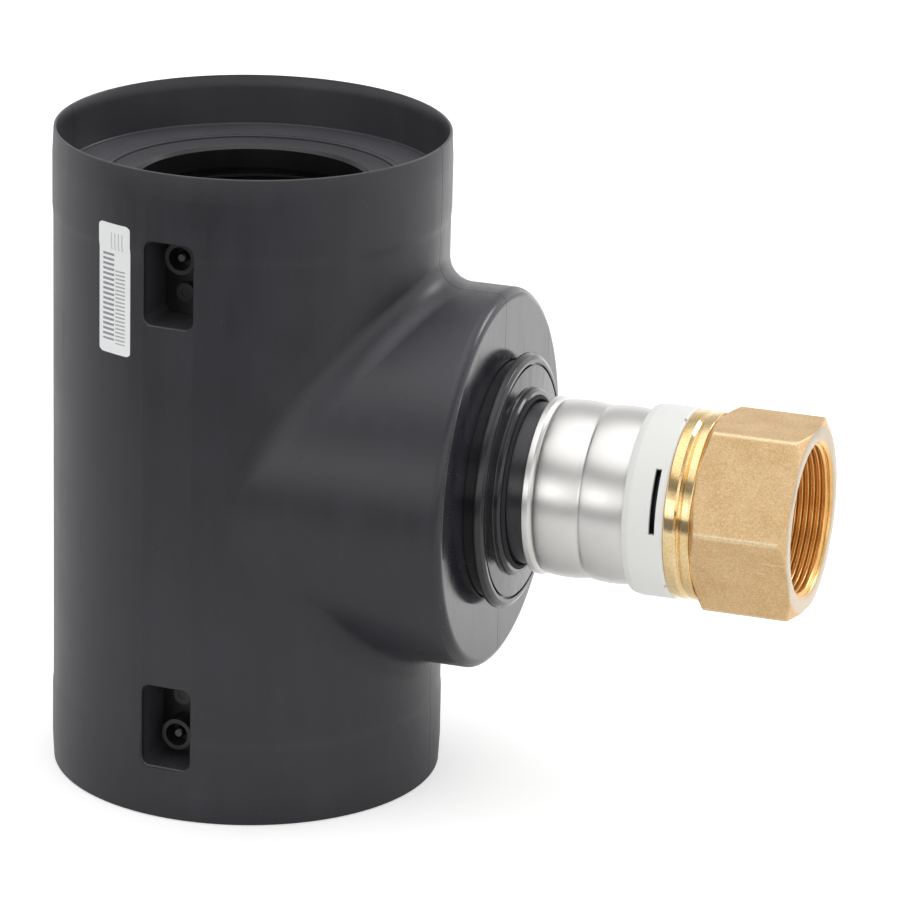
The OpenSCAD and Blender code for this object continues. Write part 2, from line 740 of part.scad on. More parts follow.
// The hexagon with its chamfered ends, drawn round the Z axis
module hexagon() {
    face_r = hex_af / 2 + face_over;
    slope = (hex_r - face_r) * tan(hex_chamfer);
    intersection() {
        translate([0, 0, hex_x]) rotate([0, 0, 30 - hex_turn])
            cylinder(r = hex_r, h = adapter_x - hex_x, $fn = 6);
        rotate_extrude($fn = 120) polygon([
            [0, hex_x], [face_r + 2 * face_over, hex_x], [hex_r + past, hex_x + slope],
            [hex_r + past, adapter_x - slope - past * tan(hex_chamfer)],
            [face_r, adapter_x], [0, adapter_x]]);
    }
}

// Heights of the two seats for the sealing rings on the nipple
function seat_x(k) = nipple_x + seal_in + seal_step * k;

module brass_adapter() {
    barb_x0 = seat_x(1) + barb_land;
    barb_w = (brass_x - barb_land - barb_x0) / barb_n;
    seat_r = pipe_bore_r - 2 * seal_fit - seal_cord;
    seat_half = seal_cord / 2 + fit;
    thread_x = adapter_x - thread_len;
    mouth_x = adapter_x - (mouth_d - thread_minor_d) / 2;
    color([0.84, 0.66, 0.38]) on_branch() difference() {
        union() {
            rotate_extrude($fn = 150) polygon(concat(
                [[0, nipple_x], [nipple_r - nipple_edge, nipple_x], [nipple_r, nipple_x + 2 * nipple_edge]],
                [for (k = [0:barb_n - 1]) each [[nipple_r, barb_x0 + k * barb_w],
                    [nipple_r - barb_t, barb_x0 + k * barb_w],
                    [nipple_r, barb_x0 + (k + barb_slope) * barb_w]]],
                [[nipple_r, brass_x], [collar_r - collar_edge, brass_x], [collar_r, brass_x + collar_edge],
                    [collar_r, brass_x + vee_in - vee_w / 2], [collar_r - vee_depth, brass_x + vee_in],
                    [collar_r, brass_x + vee_in + vee_w / 2], [collar_r, brass_x + collar_w - collar_edge],
                    [collar_r - collar_edge, brass_x + collar_w],
                    [collar_r - 2 * collar_edge, hex_x + past], [0, hex_x + past]]));
            hexagon();
        }
        for (k = [0, 1]) ring(seat_r, nipple_r + past, seat_x(k) - seat_half, seat_x(k) + seat_half);
        translate([0, 0, nipple_x - past]) cylinder(d = nipple_bore_d, h = adapter_x, $fn = 120);
        translate([0, 0, thread_x]) cylinder(d = thread_minor_d, h = thread_len + past, $fn = 150);
        translate([0, 0, thread_x - bore_taper])
            cylinder(d1 = nipple_bore_d, d2 = thread_minor_d, h = bore_taper, $fn = 150);
        translate([0, 0, mouth_x])
            cylinder(d1 = thread_minor_d, d2 = mouth_d + 2 * past, h = adapter_x - mouth_x + past, $fn = 150);
    }
}

// One sealing ring in its seat on the nipple
module nipple_seal(k) {
    color([0.12, 0.12, 0.12]) on_branch() rotate_extrude($fn = 96)
        translate([pipe_bore_r - seal_fit - seal_cord / 2, seat_x(k)]) circle(d = seal_cord, $fn = 36);
}

module nipple_seal_inner() { nipple_seal(0); }

module nipple_seal_outer() { nipple_seal(1); }

module label() {
    color([0.9, 0.9, 0.9]) difference() {
        intersection() {
            run_form(label_t);
            on_spoke(jacket_len - label_in, window_dir - label_turn)
                linear_extrude(rim_r + past) rounded_plate(label_w, label_h, label_r);
        }
        run_form();
    }
}

jacket_front();
jacket_rear();
insulation();
end_ring_upper();
end_ring_lower();
inner_tee();
coil_upper();
coil_lower();
coil_link();
terminal_upper();
terminal_lower();
indicator_upper();
indicator_lower();
branch_cap();
lip_seal();
branch_pipe();
press_sleeve();
slotted_ring();
brass_adapter();
nipple_seal_inner();
nipple_seal_outer();
label();
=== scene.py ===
"""Looks of a pre-insulated transition tee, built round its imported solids.

Lengths in the classes are millimetres in the part's frame: Z runs up the run axis from the lower rim,
X runs out along the branch axis. Meshes are written in metres.
"""

import logging
import math
from dataclasses import dataclass, field
from enum import Enum
from typing import Any, Callable, Iterable, Optional, Sequence, Union

import bpy
import numpy as np
from mathutils import Matrix, Vector


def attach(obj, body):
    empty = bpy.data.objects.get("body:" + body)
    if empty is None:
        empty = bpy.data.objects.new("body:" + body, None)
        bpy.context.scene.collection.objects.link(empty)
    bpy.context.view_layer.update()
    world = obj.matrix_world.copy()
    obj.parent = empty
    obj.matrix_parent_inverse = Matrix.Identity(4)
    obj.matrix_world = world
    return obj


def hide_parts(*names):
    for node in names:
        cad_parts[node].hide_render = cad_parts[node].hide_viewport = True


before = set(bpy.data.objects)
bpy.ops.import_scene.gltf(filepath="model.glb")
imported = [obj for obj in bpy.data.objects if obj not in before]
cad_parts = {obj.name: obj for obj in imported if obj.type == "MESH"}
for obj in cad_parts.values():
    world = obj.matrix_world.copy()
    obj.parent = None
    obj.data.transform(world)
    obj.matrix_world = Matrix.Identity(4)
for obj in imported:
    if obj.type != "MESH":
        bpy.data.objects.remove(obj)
LOG = logging.getLogger("transition_tee")
MM = 0.001
JACKET_LEN = 260.0
BRANCH_Z = JACKET_LEN / 2
WINDOW_DIR = -93.5
Piece = bpy.types.Object
Pair = tuple[float, float]
Triple = tuple[float, float, float]
Profile = list[Pair]
Colour = Triple
Value = Union["Wire", float, int, Sequence[float]]
Inputs = dict[Union[str, int], Value]


class Axis(Enum):
    """Axis that a turned piece is turned round."""

    RUN = "run"
    BRANCH = "branch"

    def matrix(self) -> Matrix:
        """Matrix from a turned piece's own frame, Z along its axis, to the part's frame in millimetres."""
        if self is Axis.RUN:
            return Matrix.Identity(4)
        return Matrix.Translation((0, 0, BRANCH_Z)) @ Matrix.Rotation(math.radians(90), 4, "Y")


def spoke(z: float) -> Matrix:
    """Matrix of a frame whose Z leaves the run axis towards the windows and whose Y stays upright.

    Args:
        z: Height of the spoke above the lower rim.

    Returns:
        The matrix, in millimetres.
    """
    turn = Matrix.Rotation(math.radians(WINDOW_DIR), 4, "Z")
    lay = Matrix(((0, 0, 1, 0), (1, 0, 0, 0), (0, 1, 0, 0), (0, 0, 0, 1)))
    return Matrix.Translation((0, 0, z)) @ turn @ lay


# Shader nodes


def operator(operation: str, swapped: bool = False) -> Callable[["Wire", Value], "Wire"]:
    """A Wire method for one of Python's operators.

    Args:
        operation: The Math node's operation.
        swapped: True if the wire is the second of the two values.

    Returns:
        The method.
    """
    def method(wire: "Wire", other: Value) -> "Wire":
        """Adds the Math node."""
        return wire.math_node(operation, other, wire) if swapped else wire.math_node(operation, wire, other)

    return method


class Wire:
    """A node socket with arithmetic: each expression adds the Math node that works it out.

    A comparison gives one where it is true, else zero.
    """

    __add__ = __radd__ = operator("ADD")
    __mul__ = __rmul__ = operator("MULTIPLY")
    __sub__ = operator("SUBTRACT")
    __rsub__ = operator("SUBTRACT", swapped=True)
    __pow__ = operator("POWER")
    __gt__ = operator("GREATER_THAN")
    __lt__ = operator("LESS_THAN")

    def __init__(self, paint: "Paint", socket: bpy.types.NodeSocket) -> None:
        """Keeps the socket and the node tree it belongs to."""
        self.paint = paint
        self.socket = socket

    def math_node(self, operation: str, a: Value, b: Value = 0.0, clamp: bool = False) -> "Wire":
        """Adds one Math node and returns its output."""
        return self.paint.node("ShaderNodeMath", {0: a, 1: b}, operation=operation, use_clamp=clamp)[0]

    def wrapped(self) -> "Wire":
        """The value's fraction, from 0 to 1."""
        return self.math_node("FRACT", self)

    def clamped(self) -> "Wire":
        """The value held between 0 and 1."""
        return self.math_node("ADD", self, 0.0, clamp=True)

    def reach(self, other: Value) -> "Wire":
        """Length of the diagonal whose sides are this value and another."""
        return (self ** 2.0 + other ** 2.0) ** 0.5

    def ramp(self, low: float, high: float) -> "Wire":
        """The value spread from 0 at low to 1 at high and held between them."""
        inputs: Inputs = {"Value": self, "From Min": low, "From Max": high}
        return self.paint.node("ShaderNodeMapRange", inputs, clamp=True, interpolation_type="SMOOTHSTEP")[0]


class Outputs:
    """The outputs of one node, by name or place."""

    def __init__(self, paint: "Paint", node: bpy.types.Node) -> None:
        """Keeps the node."""
        self.paint = paint
        self.raw = node

    def __getitem__(self, key: Union[str, int]) -> Wire:
        """The output of that name or place."""
        return Wire(self.paint, self.raw.outputs[key])


class Paint:
    """A node tree of one material or of the world, written by calls."""

    def __init__(self, tree: bpy.types.NodeTree) -> None:
        """Empties the tree."""
        self.tree = tree
        tree.nodes.clear()

    def feed(self, socket: bpy.types.NodeSocket, value: Value) -> None:
        """Links or sets one input.

        Args:
            socket: The input.
            value: A wire to link, or a number or numbers to set.
        """
        if isinstance(value, Wire):
            self.tree.links.new(value.socket, socket)
        elif isinstance(value, (int, float)):
            socket.default_value = value
        else:
            numbers = list(value)
            if socket.type == "RGBA" and len(numbers) == 3:
                numbers.append(1.0)
            socket.default_value = numbers

    def node(self, kind: str, inputs: Optional[Inputs] = None, **settings: Any) -> Outputs:
        """Adds a node.

        Args:
            kind: The node's type name.
            inputs: Values or wires by socket name or place.
            settings: Its properties; "stops" gives a colour ramp's places and colours.

        Returns:
            The node's outputs.
        """
        made = self.tree.nodes.new(kind)
        for name, value in settings.items():
            if name == "stops":
                ramp = made.color_ramp
                while len(ramp.elements) < len(value):
                    ramp.elements.new(0.5)
                for stop, (place, colour) in zip(ramp.elements, value):
                    stop.position = place
                    stop.color = (*colour, 1.0)
            else:
                setattr(made, name, value)
        for key, value in (inputs or {}).items():
            self.feed(made.inputs[key], value)
        return Outputs(self, made)

    def place(self, kind: str = "Object") -> Wire:
        """Position on the object in metres, or another output of the coordinates node."""
        return self.node("ShaderNodeTexCoord")[kind]

    def parts(self, vector: Wire) -> tuple[Wire, Wire, Wire]:
        """The three components of a vector."""
        split = self.node("ShaderNodeSeparateXYZ", {0: vector})
        return split["X"], split["Y"], split["Z"]

    def scaled(self, vector: Wire, factors: Sequence[float]) -> Wire:
        """A vector with each component scaled."""
        return self.node("ShaderNodeVectorMath", {0: vector, 1: factors}, operation="MULTIPLY")["Vector"]

    def noise(self, vector: Wire, scale: float, detail: float = 3.0, rough: float = 0.55) -> Wire:
        """Soft noise about 0.5 at a scale per metre."""
        inputs: Inputs = {"Vector": vector, "Scale": scale, "Detail": detail, "Roughness": rough}
        return self.node("ShaderNodeTexNoise", inputs, noise_dimensions="3D")["Fac"]

    def cells(self, vector: Wire, scale: float) -> Wire:
        """Distance from the middle of the nearest cell, at cells per metre."""
        return self.node("ShaderNodeTexVoronoi", {"Vector": vector, "Scale": scale}, feature="F1")["Distance"]

    def specks(self, vector: Wire, scale: float, size: float, patch: float, above: float,
               detail: float = 1.0) -> Wire:
        """Sparse dots in patches: one inside each dot, zero outside.

        Args:
            vector: Position.
            scale: Cells per metre.
            size: Radius of a dot as a share of its cell.
            patch: Scale of the noise that places the patches.
            above: Level above which that noise is a patch.
            detail: Detail of that noise.

        Returns:
            The mask.
        """
        return (self.cells(vector, scale) < size) * (self.noise(vector, patch, detail) > above)

    def mix(self, factor: Value, a: Value, b: Value) -> Wire:
        """Colour a where the factor is 0 and colour b where it is 1."""
        made = self.node("ShaderNodeMix", data_type="RGBA")
        for place, value in ((0, factor), (6, a), (7, b)):
            self.feed(made.raw.inputs[place], value)
        return Wire(self, made.raw.outputs[2])

    def bump(self, height: Wire, depth: float, strength: float = 1.0, normal: Optional[Wire] = None) -> Wire:
        """A normal bent by a height.

        Args:
            height: The height, from 0 to 1.
            depth: Millimetres that a height of 1 stands for.
            strength: Share of the bend that is used.
            normal: A normal bent already, or None.

        Returns:
            The new normal.
        """
        inputs: Inputs = {"Height": height, "Distance": depth * MM, "Strength": strength}
        if normal is not None:
            inputs["Normal"] = normal
        return self.node("ShaderNodeBump", inputs)["Normal"]

    def surface(self, **inputs: Value) -> None:
        """Closes the tree with a Principled shader; underscores in names stand for spaces."""
        named: Inputs = {name.replace("_", " "): value for name, value in inputs.items()}
        shader = self.node("ShaderNodeBsdfPrincipled", named)
        self.node("ShaderNodeOutputMaterial", {"Surface": shader["BSDF"]})


# Finishes


@dataclass(frozen=True)
class Finish:
    """A material with its name. Subclasses write its nodes."""

    name: str

    def material(self) -> bpy.types.Material:
        """The Blender material, made once."""
        found = bpy.data.materials.get(self.name)
        if found:
            return found
        made = bpy.data.materials.new(self.name)
        made.use_nodes = True
        self.write(Paint(made.node_tree))
        return made

    def write(self, paint: Paint) -> None:
        """Writes the material's nodes."""
        raise NotImplementedError


@dataclass(frozen=True)
class BlackPlastic(Finish):
    """Moulded polyethylene: near black, satin, with flow marks, grain and dust, and painted skylight and
    recess light.
    """

    base: Colour = (0.0188, 0.0180, 0.0232)
    pale: Colour = (0.0256, 0.0245, 0.0312)
    dust_tone: Colour = (0.10, 0.10, 0.10)
    dust_and_sky_sheen_tone: Colour = (0.62, 0.61, 0.70)
    painted_recess_light_tone: Colour = (0.050, 0.048, 0.054)
    end_tone: Colour = (0.052, 0.050, 0.057)
    rough: float = 0.38
    swing: float = 0.08
    grain: float = 0.02
    dust: float = 0.35
    dust_and_sky_sheen: float = 0.045
    seed: float = 0.0
    waves: float = 0.25
    wave_scale: float = 55.0
    gloss_x: Optional[float] = None
    gloss_depth: float = 2.6
    gloss_rough: float = 0.18
    inner_r: Optional[float] = None
    pale_ends: bool = False
    end_depth: float = 20.6

    def write(self, paint: Paint) -> None:
        """Writes the material's nodes."""
        at = paint.place()
        cloud = paint.noise(at, 22.0 + self.seed, 4.0, 0.6)
        flow = paint.noise(paint.scaled(at, (1.0, 1.0, 0.12)), 160.0, 3.0, 0.6)
        fine = paint.noise(at, 2600.0, 2.0, 0.6)
        dust = paint.specks(at, 260.0, 0.075, 40.0, 0.56) * self.dust
        scratch = (paint.noise(paint.scaled(at, (1.0, 1.0, 0.03)), 700.0, 1.0) > 0.72) * 0.10
        tone = (cloud * 0.6 + flow * 0.4).ramp(0.36, 0.68)
        colour = paint.mix(dust, paint.mix(tone, self.base, self.pale), self.dust_tone)
        rough = tone * self.swing + (self.rough - self.swing / 2) + scratch + dust * 0.3
        x, y, z = paint.parts(at)
        if self.gloss_x is not None:
            gloss = x.ramp((self.gloss_x - self.gloss_depth) * MM, self.gloss_x * MM)
            rough = rough - gloss * (self.rough - self.gloss_rough)
            fine = fine * (1.0 - gloss * 0.8)
        dust_and_sky_sheen: Union[Wire, float] = self.dust_and_sky_sheen
        # Painted light: near the run axis, in the window pockets and end recesses, the colour turns to a
        # lighter tone that stands for light reaching inside, and the skylight sheen is left out.
        if self.inner_r is not None:
            inside = 1.0 - x.reach(y).ramp((self.inner_r - 3.0) * MM, (self.inner_r + 2.0) * MM)
            colour = paint.mix(inside, colour, self.painted_recess_light_tone)
            dust_and_sky_sheen = (1.0 - inside) * self.dust_and_sky_sheen
        # Painted light: the tee's end faces, part of the floor of each end recess, take the end rings' paler
        # tone, standing for the light that falls there.
        if self.pale_ends:
            half = JACKET_LEN / 2 * MM
            low, high = half - (self.end_depth + 0.2) * MM, half - self.end_depth * MM
            ends = ((z - half) ** 2.0).ramp(low**2, high**2)
            colour = paint.mix(ends, colour, self.end_tone)
            rough = rough + ends * 0.15
        # Painted skylight: upward faces are mixed towards a pale bluish tone, as if lit from above, together
        # with a thin film of settled dust.
        _, _, up = paint.parts(paint.place("Normal"))
        dust_and_sky_sheen_share = up.ramp(0.0, 1.0) * (cloud * 0.8 + 0.6) * dust_and_sky_sheen
        colour = paint.mix(dust_and_sky_sheen_share, colour, self.dust_and_sky_sheen_tone)
        soft = paint.bump(paint.noise(at, self.wave_scale, 2.0), self.waves, 0.35)
        normal = paint.bump(fine, self.grain, 0.6, soft)
        paint.surface(Base_Color=colour, Roughness=rough, Normal=normal, Specular_IOR_Level=0.5)


@dataclass(frozen=True)
class Foam(Finish):
    """Cut closed-cell foam."""

    def write(self, paint: Paint) -> None:
        """Writes the material's nodes."""
        at = paint.place()
        cell = paint.cells(at, 900.0)
        colour = paint.mix(cell.clamped(), (0.02, 0.02, 0.021), (0.07, 0.07, 0.072))
        paint.surface(Base_Color=colour, Roughness=0.92, Normal=paint.bump(cell, 0.35, 0.8))


@dataclass(frozen=True)
class Rubber(Finish):
    """Black rubber with a bloom."""

    rough: float = 0.55

    def write(self, paint: Paint) -> None:
        """Writes the material's nodes."""
        at = paint.place()
        bloom = paint.noise(at, 120.0, 4.0).ramp(0.4, 0.75)
        colour = paint.mix(bloom, (0.010, 0.010, 0.011), (0.026, 0.025, 0.027))
        paint.surface(Base_Color=colour, Roughness=bloom * 0.15 + self.rough,
                      Normal=paint.bump(paint.noise(at, 1800.0, 2.0), 0.02, 0.5))


@dataclass(frozen=True)
class TurnedSteel(Finish):
    """Satin stainless steel, turned: fine lines run round the branch."""

    def write(self, paint: Paint) -> None:
        """Writes the material's nodes."""
        at = paint.place()
        lines = paint.noise(paint.scaled(at, (1.0, 0.02, 0.02)), 5200.0, 2.0, 0.7)
        haze = paint.noise(at, 60.0, 4.0, 0.6)
        pits = paint.specks(at, 330.0, 0.07, 90.0, 0.60)
        colour = paint.mix(haze, (0.72, 0.705, 0.685), (0.80, 0.79, 0.77))
        colour = paint.mix(pits * 0.6, colour, (0.30, 0.28, 0.26))
        rough = haze * 0.12 + lines * 0.10 + 0.20
        normal = paint.bump(lines, 0.010, 0.55, paint.bump(paint.noise(at, 75.0, 2.0), 0.10, 0.30))
        paint.surface(Base_Color=colour, Metallic=1.0, Roughness=rough, Normal=normal)


@dataclass(frozen=True)
class Brass(Finish):
    """Brass, as cast and blasted or freshly machined, and the dull metal of the pins."""

    dark: Colour
    light: Colour
    pit_tone: Colour = (0.40, 0.25, 0.10)
    wear_and_glint_tone: Colour = (0.97, 0.82, 0.56)
    rough: float = 0.50
    pits: float = 1.0
    lines: float = 0.0
    glint_edge_r: Optional[float] = None

    def write(self, paint: Paint) -> None:
        """Writes the material's nodes."""
        at = paint.place()
        haze = paint.noise(at, 85.0, 5.0, 0.65)
        crumb = paint.noise(at, 1300.0, 3.0, 0.7)
        pit = paint.specks(at, 520.0, 0.12, 120.0, 0.56, 2.0)
        # Painted highlights: sparse glints, and on the cast finish a bright line along the hexagon's rounded
        # corners, are mixed towards a pale tone together with real scratches.
        glint = paint.specks(at, 640.0, 0.15, 150.0, 0.50, 2.0)
        scratch = paint.noise(paint.scaled(at, (0.06, 1.0, 1.0)), 1500.0, 1.0) > 0.74
        pale = ((glint + scratch) * self.pits).clamped()
        if self.glint_edge_r is not None:
            _, y, z = paint.parts(at)
            edge = y.reach(z - BRANCH_Z * MM).ramp((self.glint_edge_r - 0.5) * MM, self.glint_edge_r * MM)
            pale = (pale + edge * (crumb * 1.6 - 0.1)).clamped()
        colour = paint.mix((haze * 0.35 + crumb * 0.65).ramp(0.30, 0.70), self.dark, self.light)
        colour = paint.mix(pit * 0.45 * self.pits, colour, self.pit_tone)
        colour = paint.mix(pale * 0.6, colour, self.wear_and_glint_tone)
        rough = haze * 0.10 + (self.rough - 0.05) + pit * 0.15 * self.pits - pale * 0.12
        normal = paint.bump(crumb, 0.10 * self.pits + 0.002, 0.6)
        if self.lines:
            turned = paint.noise(paint.scaled(at, (1.0, 0.03, 0.03)), 4200.0, 2.0, 0.6)
            normal = paint.bump(turned, self.lines, 0.6, normal)
        paint.surface(Base_Color=colour, Metallic=1.0, Roughness=rough, Normal=normal)


@dataclass(frozen=True)
class WhitePlastic(Finish):
    """Off-white moulded plastic, with painted shade inside the slots: past a distance from the run and below
    a radius.
    """

    skin_r: float = 36.3
    slots_x: float = 172.0

    def write(self, paint: Paint) -> None:
        """Writes the material's nodes."""
        at = paint.place()
        cloud = paint.noise(at, 70.0, 4.0)
        scuff = paint.specks(at, 300.0, 0.06, 60.0, 0.58) * 0.5
        colour = paint.mix(cloud, (0.84, 0.84, 0.815), (0.89, 0.89, 0.865))
        colour = paint.mix(scuff, colour, (0.45, 0.44, 0.42))
        x, y, z = paint.parts(at)
        # Painted shade: inside the slots the colour turns near black, standing for the shade that falls
        # there.
        skin = y.reach(z - BRANCH_Z * MM).ramp((self.skin_r - 1.2) * MM, self.skin_r * MM)
        depth = (1.0 - skin) * (x > self.slots_x * MM)
        colour = paint.mix(depth, colour, (0.02, 0.02, 0.02))
        paint.surface(Base_Color=colour, Roughness=cloud * 0.12 + 0.38,
                      Normal=paint.bump(paint.noise(at, 1500.0, 2.0), 0.012, 0.5))


@dataclass(frozen=True)
class PrintedLabel(Finish):
    """White label with plain, evenly spaced bars, read from the piece's UV map."""

    def write(self, paint: Paint) -> None:
        """Writes the material's nodes."""
        at = paint.place()
        u, v, _ = paint.parts(paint.place("UV"))
        left = (u > 0.13) * (u < 0.50) * (v > 0.10) * (v < 0.78)
        right = (u > 0.54) * (u < 0.84) * (v > 0.08) * (v < 0.66)
        thick = ((v * 26.0).wrapped() > 0.52) * left
        thin = ((v * 34.0).wrapped() > 0.60) * right
        heading = (v > 0.80) * (v < 0.93) * (u > 0.34) * (u < 0.80) * ((u * 9.0).wrapped() > 0.72)
        worn = paint.noise(at, 900.0, 3.0) * 0.35 + 0.60
        ink = ((thick + thin * 0.8 + heading * 0.6) * worn).clamped()
        colour = paint.mix(ink, (0.90, 0.905, 0.91), (0.10, 0.12, 0.12))
        paint.surface(Base_Color=colour, Roughness=0.45, Normal=paint.bump(paint.noise(at, 500.0), 0.01, 0.4))


@dataclass(frozen=True)
class CoatedWire(Finish):
    """Resistance wire under a thin dark coat."""

    def write(self, paint: Paint) -> None:
        """Writes the material's nodes."""
        at = paint.place()
        tone = paint.noise(at, 400.0, 3.0)
        colour = paint.mix(tone, (0.016, 0.013, 0.012), (0.032, 0.025, 0.022))
        paint.surface(Base_Color=colour, Roughness=tone * 0.2 + 0.3)


@dataclass(frozen=True)
class FloorWhite(Finish):
    """The floor: white to the camera, darker towards the front lamp and lighter where it is mirrored.

    Its stretches are in metres. The lighter one lies behind the object, and only reflections see it.
    """

    tone: Colour = (0.86, 0.86, 0.86)
    front_tone: Colour = (0.10, 0.10, 0.10)
    front_dark: float = 0.85
    front_y: Pair = (-0.57, -0.34)
    seen_lift: float = 0.42
    mirror_lift: float = 0.66
    mirror_y: Pair = (0.0, 0.25)
    mirror_x: Pair = (-0.2, 0.2)
    mirror_end: Pair = (0.34, 0.44)

    def write(self, paint: Paint) -> None:
        """Writes the material's nodes."""
        path = paint.node("ShaderNodeLightPath")
        seen, mirrored = path["Is Camera Ray"], path["Is Glossy Ray"]
        x, y, _ = paint.parts(paint.place())
        front = (1.0 - y.ramp(*self.front_y)) * (1.0 - seen) * self.front_dark
        stretch = y.ramp(*self.mirror_y) * x.ramp(*self.mirror_x) * (1.0 - x.ramp(*self.mirror_end))
        lift = seen * self.seen_lift + mirrored * stretch * self.mirror_lift
        paint.surface(Base_Color=paint.mix(front, self.tone, self.front_tone), Roughness=0.9,
                      Specular_IOR_Level=0.0, Emission_Color=paint.scaled(lift, (1.0, 1.0, 1.0)),
                      Emission_Strength=1.0)


# Painted shade: a darker copy of the black plastic, for the inner tee and the indicators, which sit in shade
# behind the windows and inside the recesses.
SHADED_BLACK: dict[str, Any] = {"base": (0.009, 0.009, 0.010), "pale": (0.015, 0.015, 0.017), "dust_and_sky_sheen": 0.01}
JACKET = BlackPlastic("jacket_plastic", gloss_x=104.4, inner_r=75.0)
TEE = BlackPlastic("tee_plastic", rough=0.34, dust=0.2, seed=5.0, pale_ends=True, **SHADED_BLACK)
# Painted light: the end rings are a paler copy of the black plastic, standing for the light on the floor of
# each end recess.
END_RING = BlackPlastic("end_ring_plastic", base=(0.048, 0.046, 0.053), pale=(0.060, 0.058, 0.066),
                        rough=0.50, seed=9.0)
CAP = BlackPlastic("cap_plastic", base=(0.014, 0.014, 0.016), pale=(0.022, 0.022, 0.025), rough=0.16,
                   swing=0.06, dust=0.4, dust_and_sky_sheen=0.02, grain=0.008, seed=13.0, waves=0.35, wave_scale=140.0)
PIPE = BlackPlastic("pipe_plastic", base=(0.015, 0.014, 0.017), pale=(0.024, 0.023, 0.027), rough=0.26,
                    grain=0.006, seed=17.0)
PIN_BLACK = BlackPlastic("indicator_plastic", rough=0.4, seed=21.0, **SHADED_BLACK)
FOAM = Foam("foam")
RUBBER = Rubber("rubber")
STEEL = TurnedSteel("turned_steel")
CAST = Brass("brass_cast", dark=(0.66, 0.43, 0.20), light=(0.90, 0.66, 0.385), glint_edge_r=40.55)
TURNED = Brass("brass_turned", dark=(0.80, 0.52, 0.20), light=(0.96, 0.80, 0.50), rough=0.10, pits=0.06,
               lines=0.005)
FACED = Brass("brass_faced", dark=(0.50, 0.41, 0.29), light=(0.58, 0.48, 0.35), rough=0.36, pits=0.3)
THREADED = Brass("brass_thread", dark=(0.82, 0.45, 0.14), light=(0.96, 0.62, 0.25), rough=0.30, pits=0.1)
PIN = Brass("terminal_pin", dark=(0.07, 0.068, 0.068), light=(0.12, 0.115, 0.11), rough=0.36, pits=0.2)
WHITE = WhitePlastic("white_plastic")
LABEL = PrintedLabel("label_print")
WIRE = CoatedWire("coil_wire")
FLOOR = FloorWhite("floor_white")


# Meshes


def swept(start: np.ndarray, end: np.ndarray, radius: float, steps: int) -> list[np.ndarray]:
    """Points of an arc about the origin.

    Args:
        start: Its first point.
        end: Its last point.
        radius: Its radius.
        steps: Steps between them.

    Returns:
        The points, with both ends.
    """
    sweep = math.acos(float(np.clip(start @ end / radius**2, -1, 1)))
    return [(math.sin((1 - k / steps) * sweep) * start + math.sin(k / steps * sweep) * end) / math.sin(sweep)
            for k in range(steps + 1)]


def rounded(corners: Sequence[Sequence[float]], steps: int = 5) -> Profile:
    """Rounds the corners of a closed outline.

    Args:
        corners: (axial, radius) or (axial, radius, corner radius) of each corner.
        steps: Steps of each rounded corner.

    Returns:
        The outline's points.
    """
    out: Profile = []
    count = len(corners)
    for i, corner in enumerate(corners):
        here = np.array(corner[:2], float)
        size = corner[2] if len(corner) > 2 else 0.0
        if not size:
            out.append((here[0], here[1]))
            continue
        back = np.array(corners[i - 1][:2], float) - here
        ahead = np.array(corners[(i + 1) % count][:2], float) - here
        back_len, ahead_len = np.linalg.norm(back), np.linalg.norm(ahead)
        back, ahead = back / back_len, ahead / ahead_len
        half = math.acos(float(np.clip(back @ ahead, -1, 1))) / 2
        reach = min(size / math.tan(half), 0.49 * back_len, 0.49 * ahead_len)
        true = reach * math.tan(half)
        middle = here + (back + ahead) / np.linalg.norm(back + ahead) * (true / math.sin(half))
        start, end = here + back * reach - middle, here + ahead * reach - middle
        out += [tuple((middle + p).tolist()) for p in swept(start, end, true, steps)]
    return out


def placed(name: str, data: bpy.types.ID) -> Piece:
    """A new object with the data, in the scene."""
    made = bpy.data.objects.new(name, data)
    bpy.context.scene.collection.objects.link(made)
    return made


def column(items: Sequence[Any], name: str, width: int = 1, kind: type = np.float32) -> np.ndarray:
    """One property of all of a mesh's items.

    Args:
        items: The mesh's vertices, loops or faces.
        name: The property.
        width: Numbers in it.
        kind: Type of the numbers.

    Returns:
        Its values, in rows where it has more than one number.
    """
    values = np.empty(len(items) * width, kind)
    items.foreach_get(name, values)
    return values if width == 1 else values.reshape(-1, width)


def mesh_piece(name: str, points: Iterable[Sequence[float]], faces: Sequence[Sequence[int]],
               place: Optional[Matrix] = None) -> Piece:
    """Makes an object from points in millimetres.

    Args:
        name: The piece's name.
        points: Its vertices.
        faces: Its faces.
        place: Matrix to the part's frame, in millimetres, or None.

    Returns:
        The object, linked to the scene, with its vertices in metres in the part's frame.
    """
    co = np.array(points, float)
    if place is not None:
        turn = np.array(place)
        co = co @ turn[:3, :3].T + turn[:3, 3]
    mesh = bpy.data.meshes.new(name)
    mesh.from_pydata((co * MM).tolist(), [], faces)
    mesh.update()
    return placed(name, mesh)


def face_outwards(piece: Piece) -> None:
    """Turns a closed mesh's faces outwards, by the sign of its volume."""
    mesh = piece.data
    mesh.calc_loop_triangles()
    corners = column(mesh.loop_triangles, "vertices", 3, np.int32)
    co = column(mesh.vertices, "co", 3, np.float64)
    a, b, c = (co[corners[:, k]] for k in range(3))
    if np.einsum("ij,ij->i", a, np.cross(b, c)).sum() < 0:
        mesh.flip_normals()


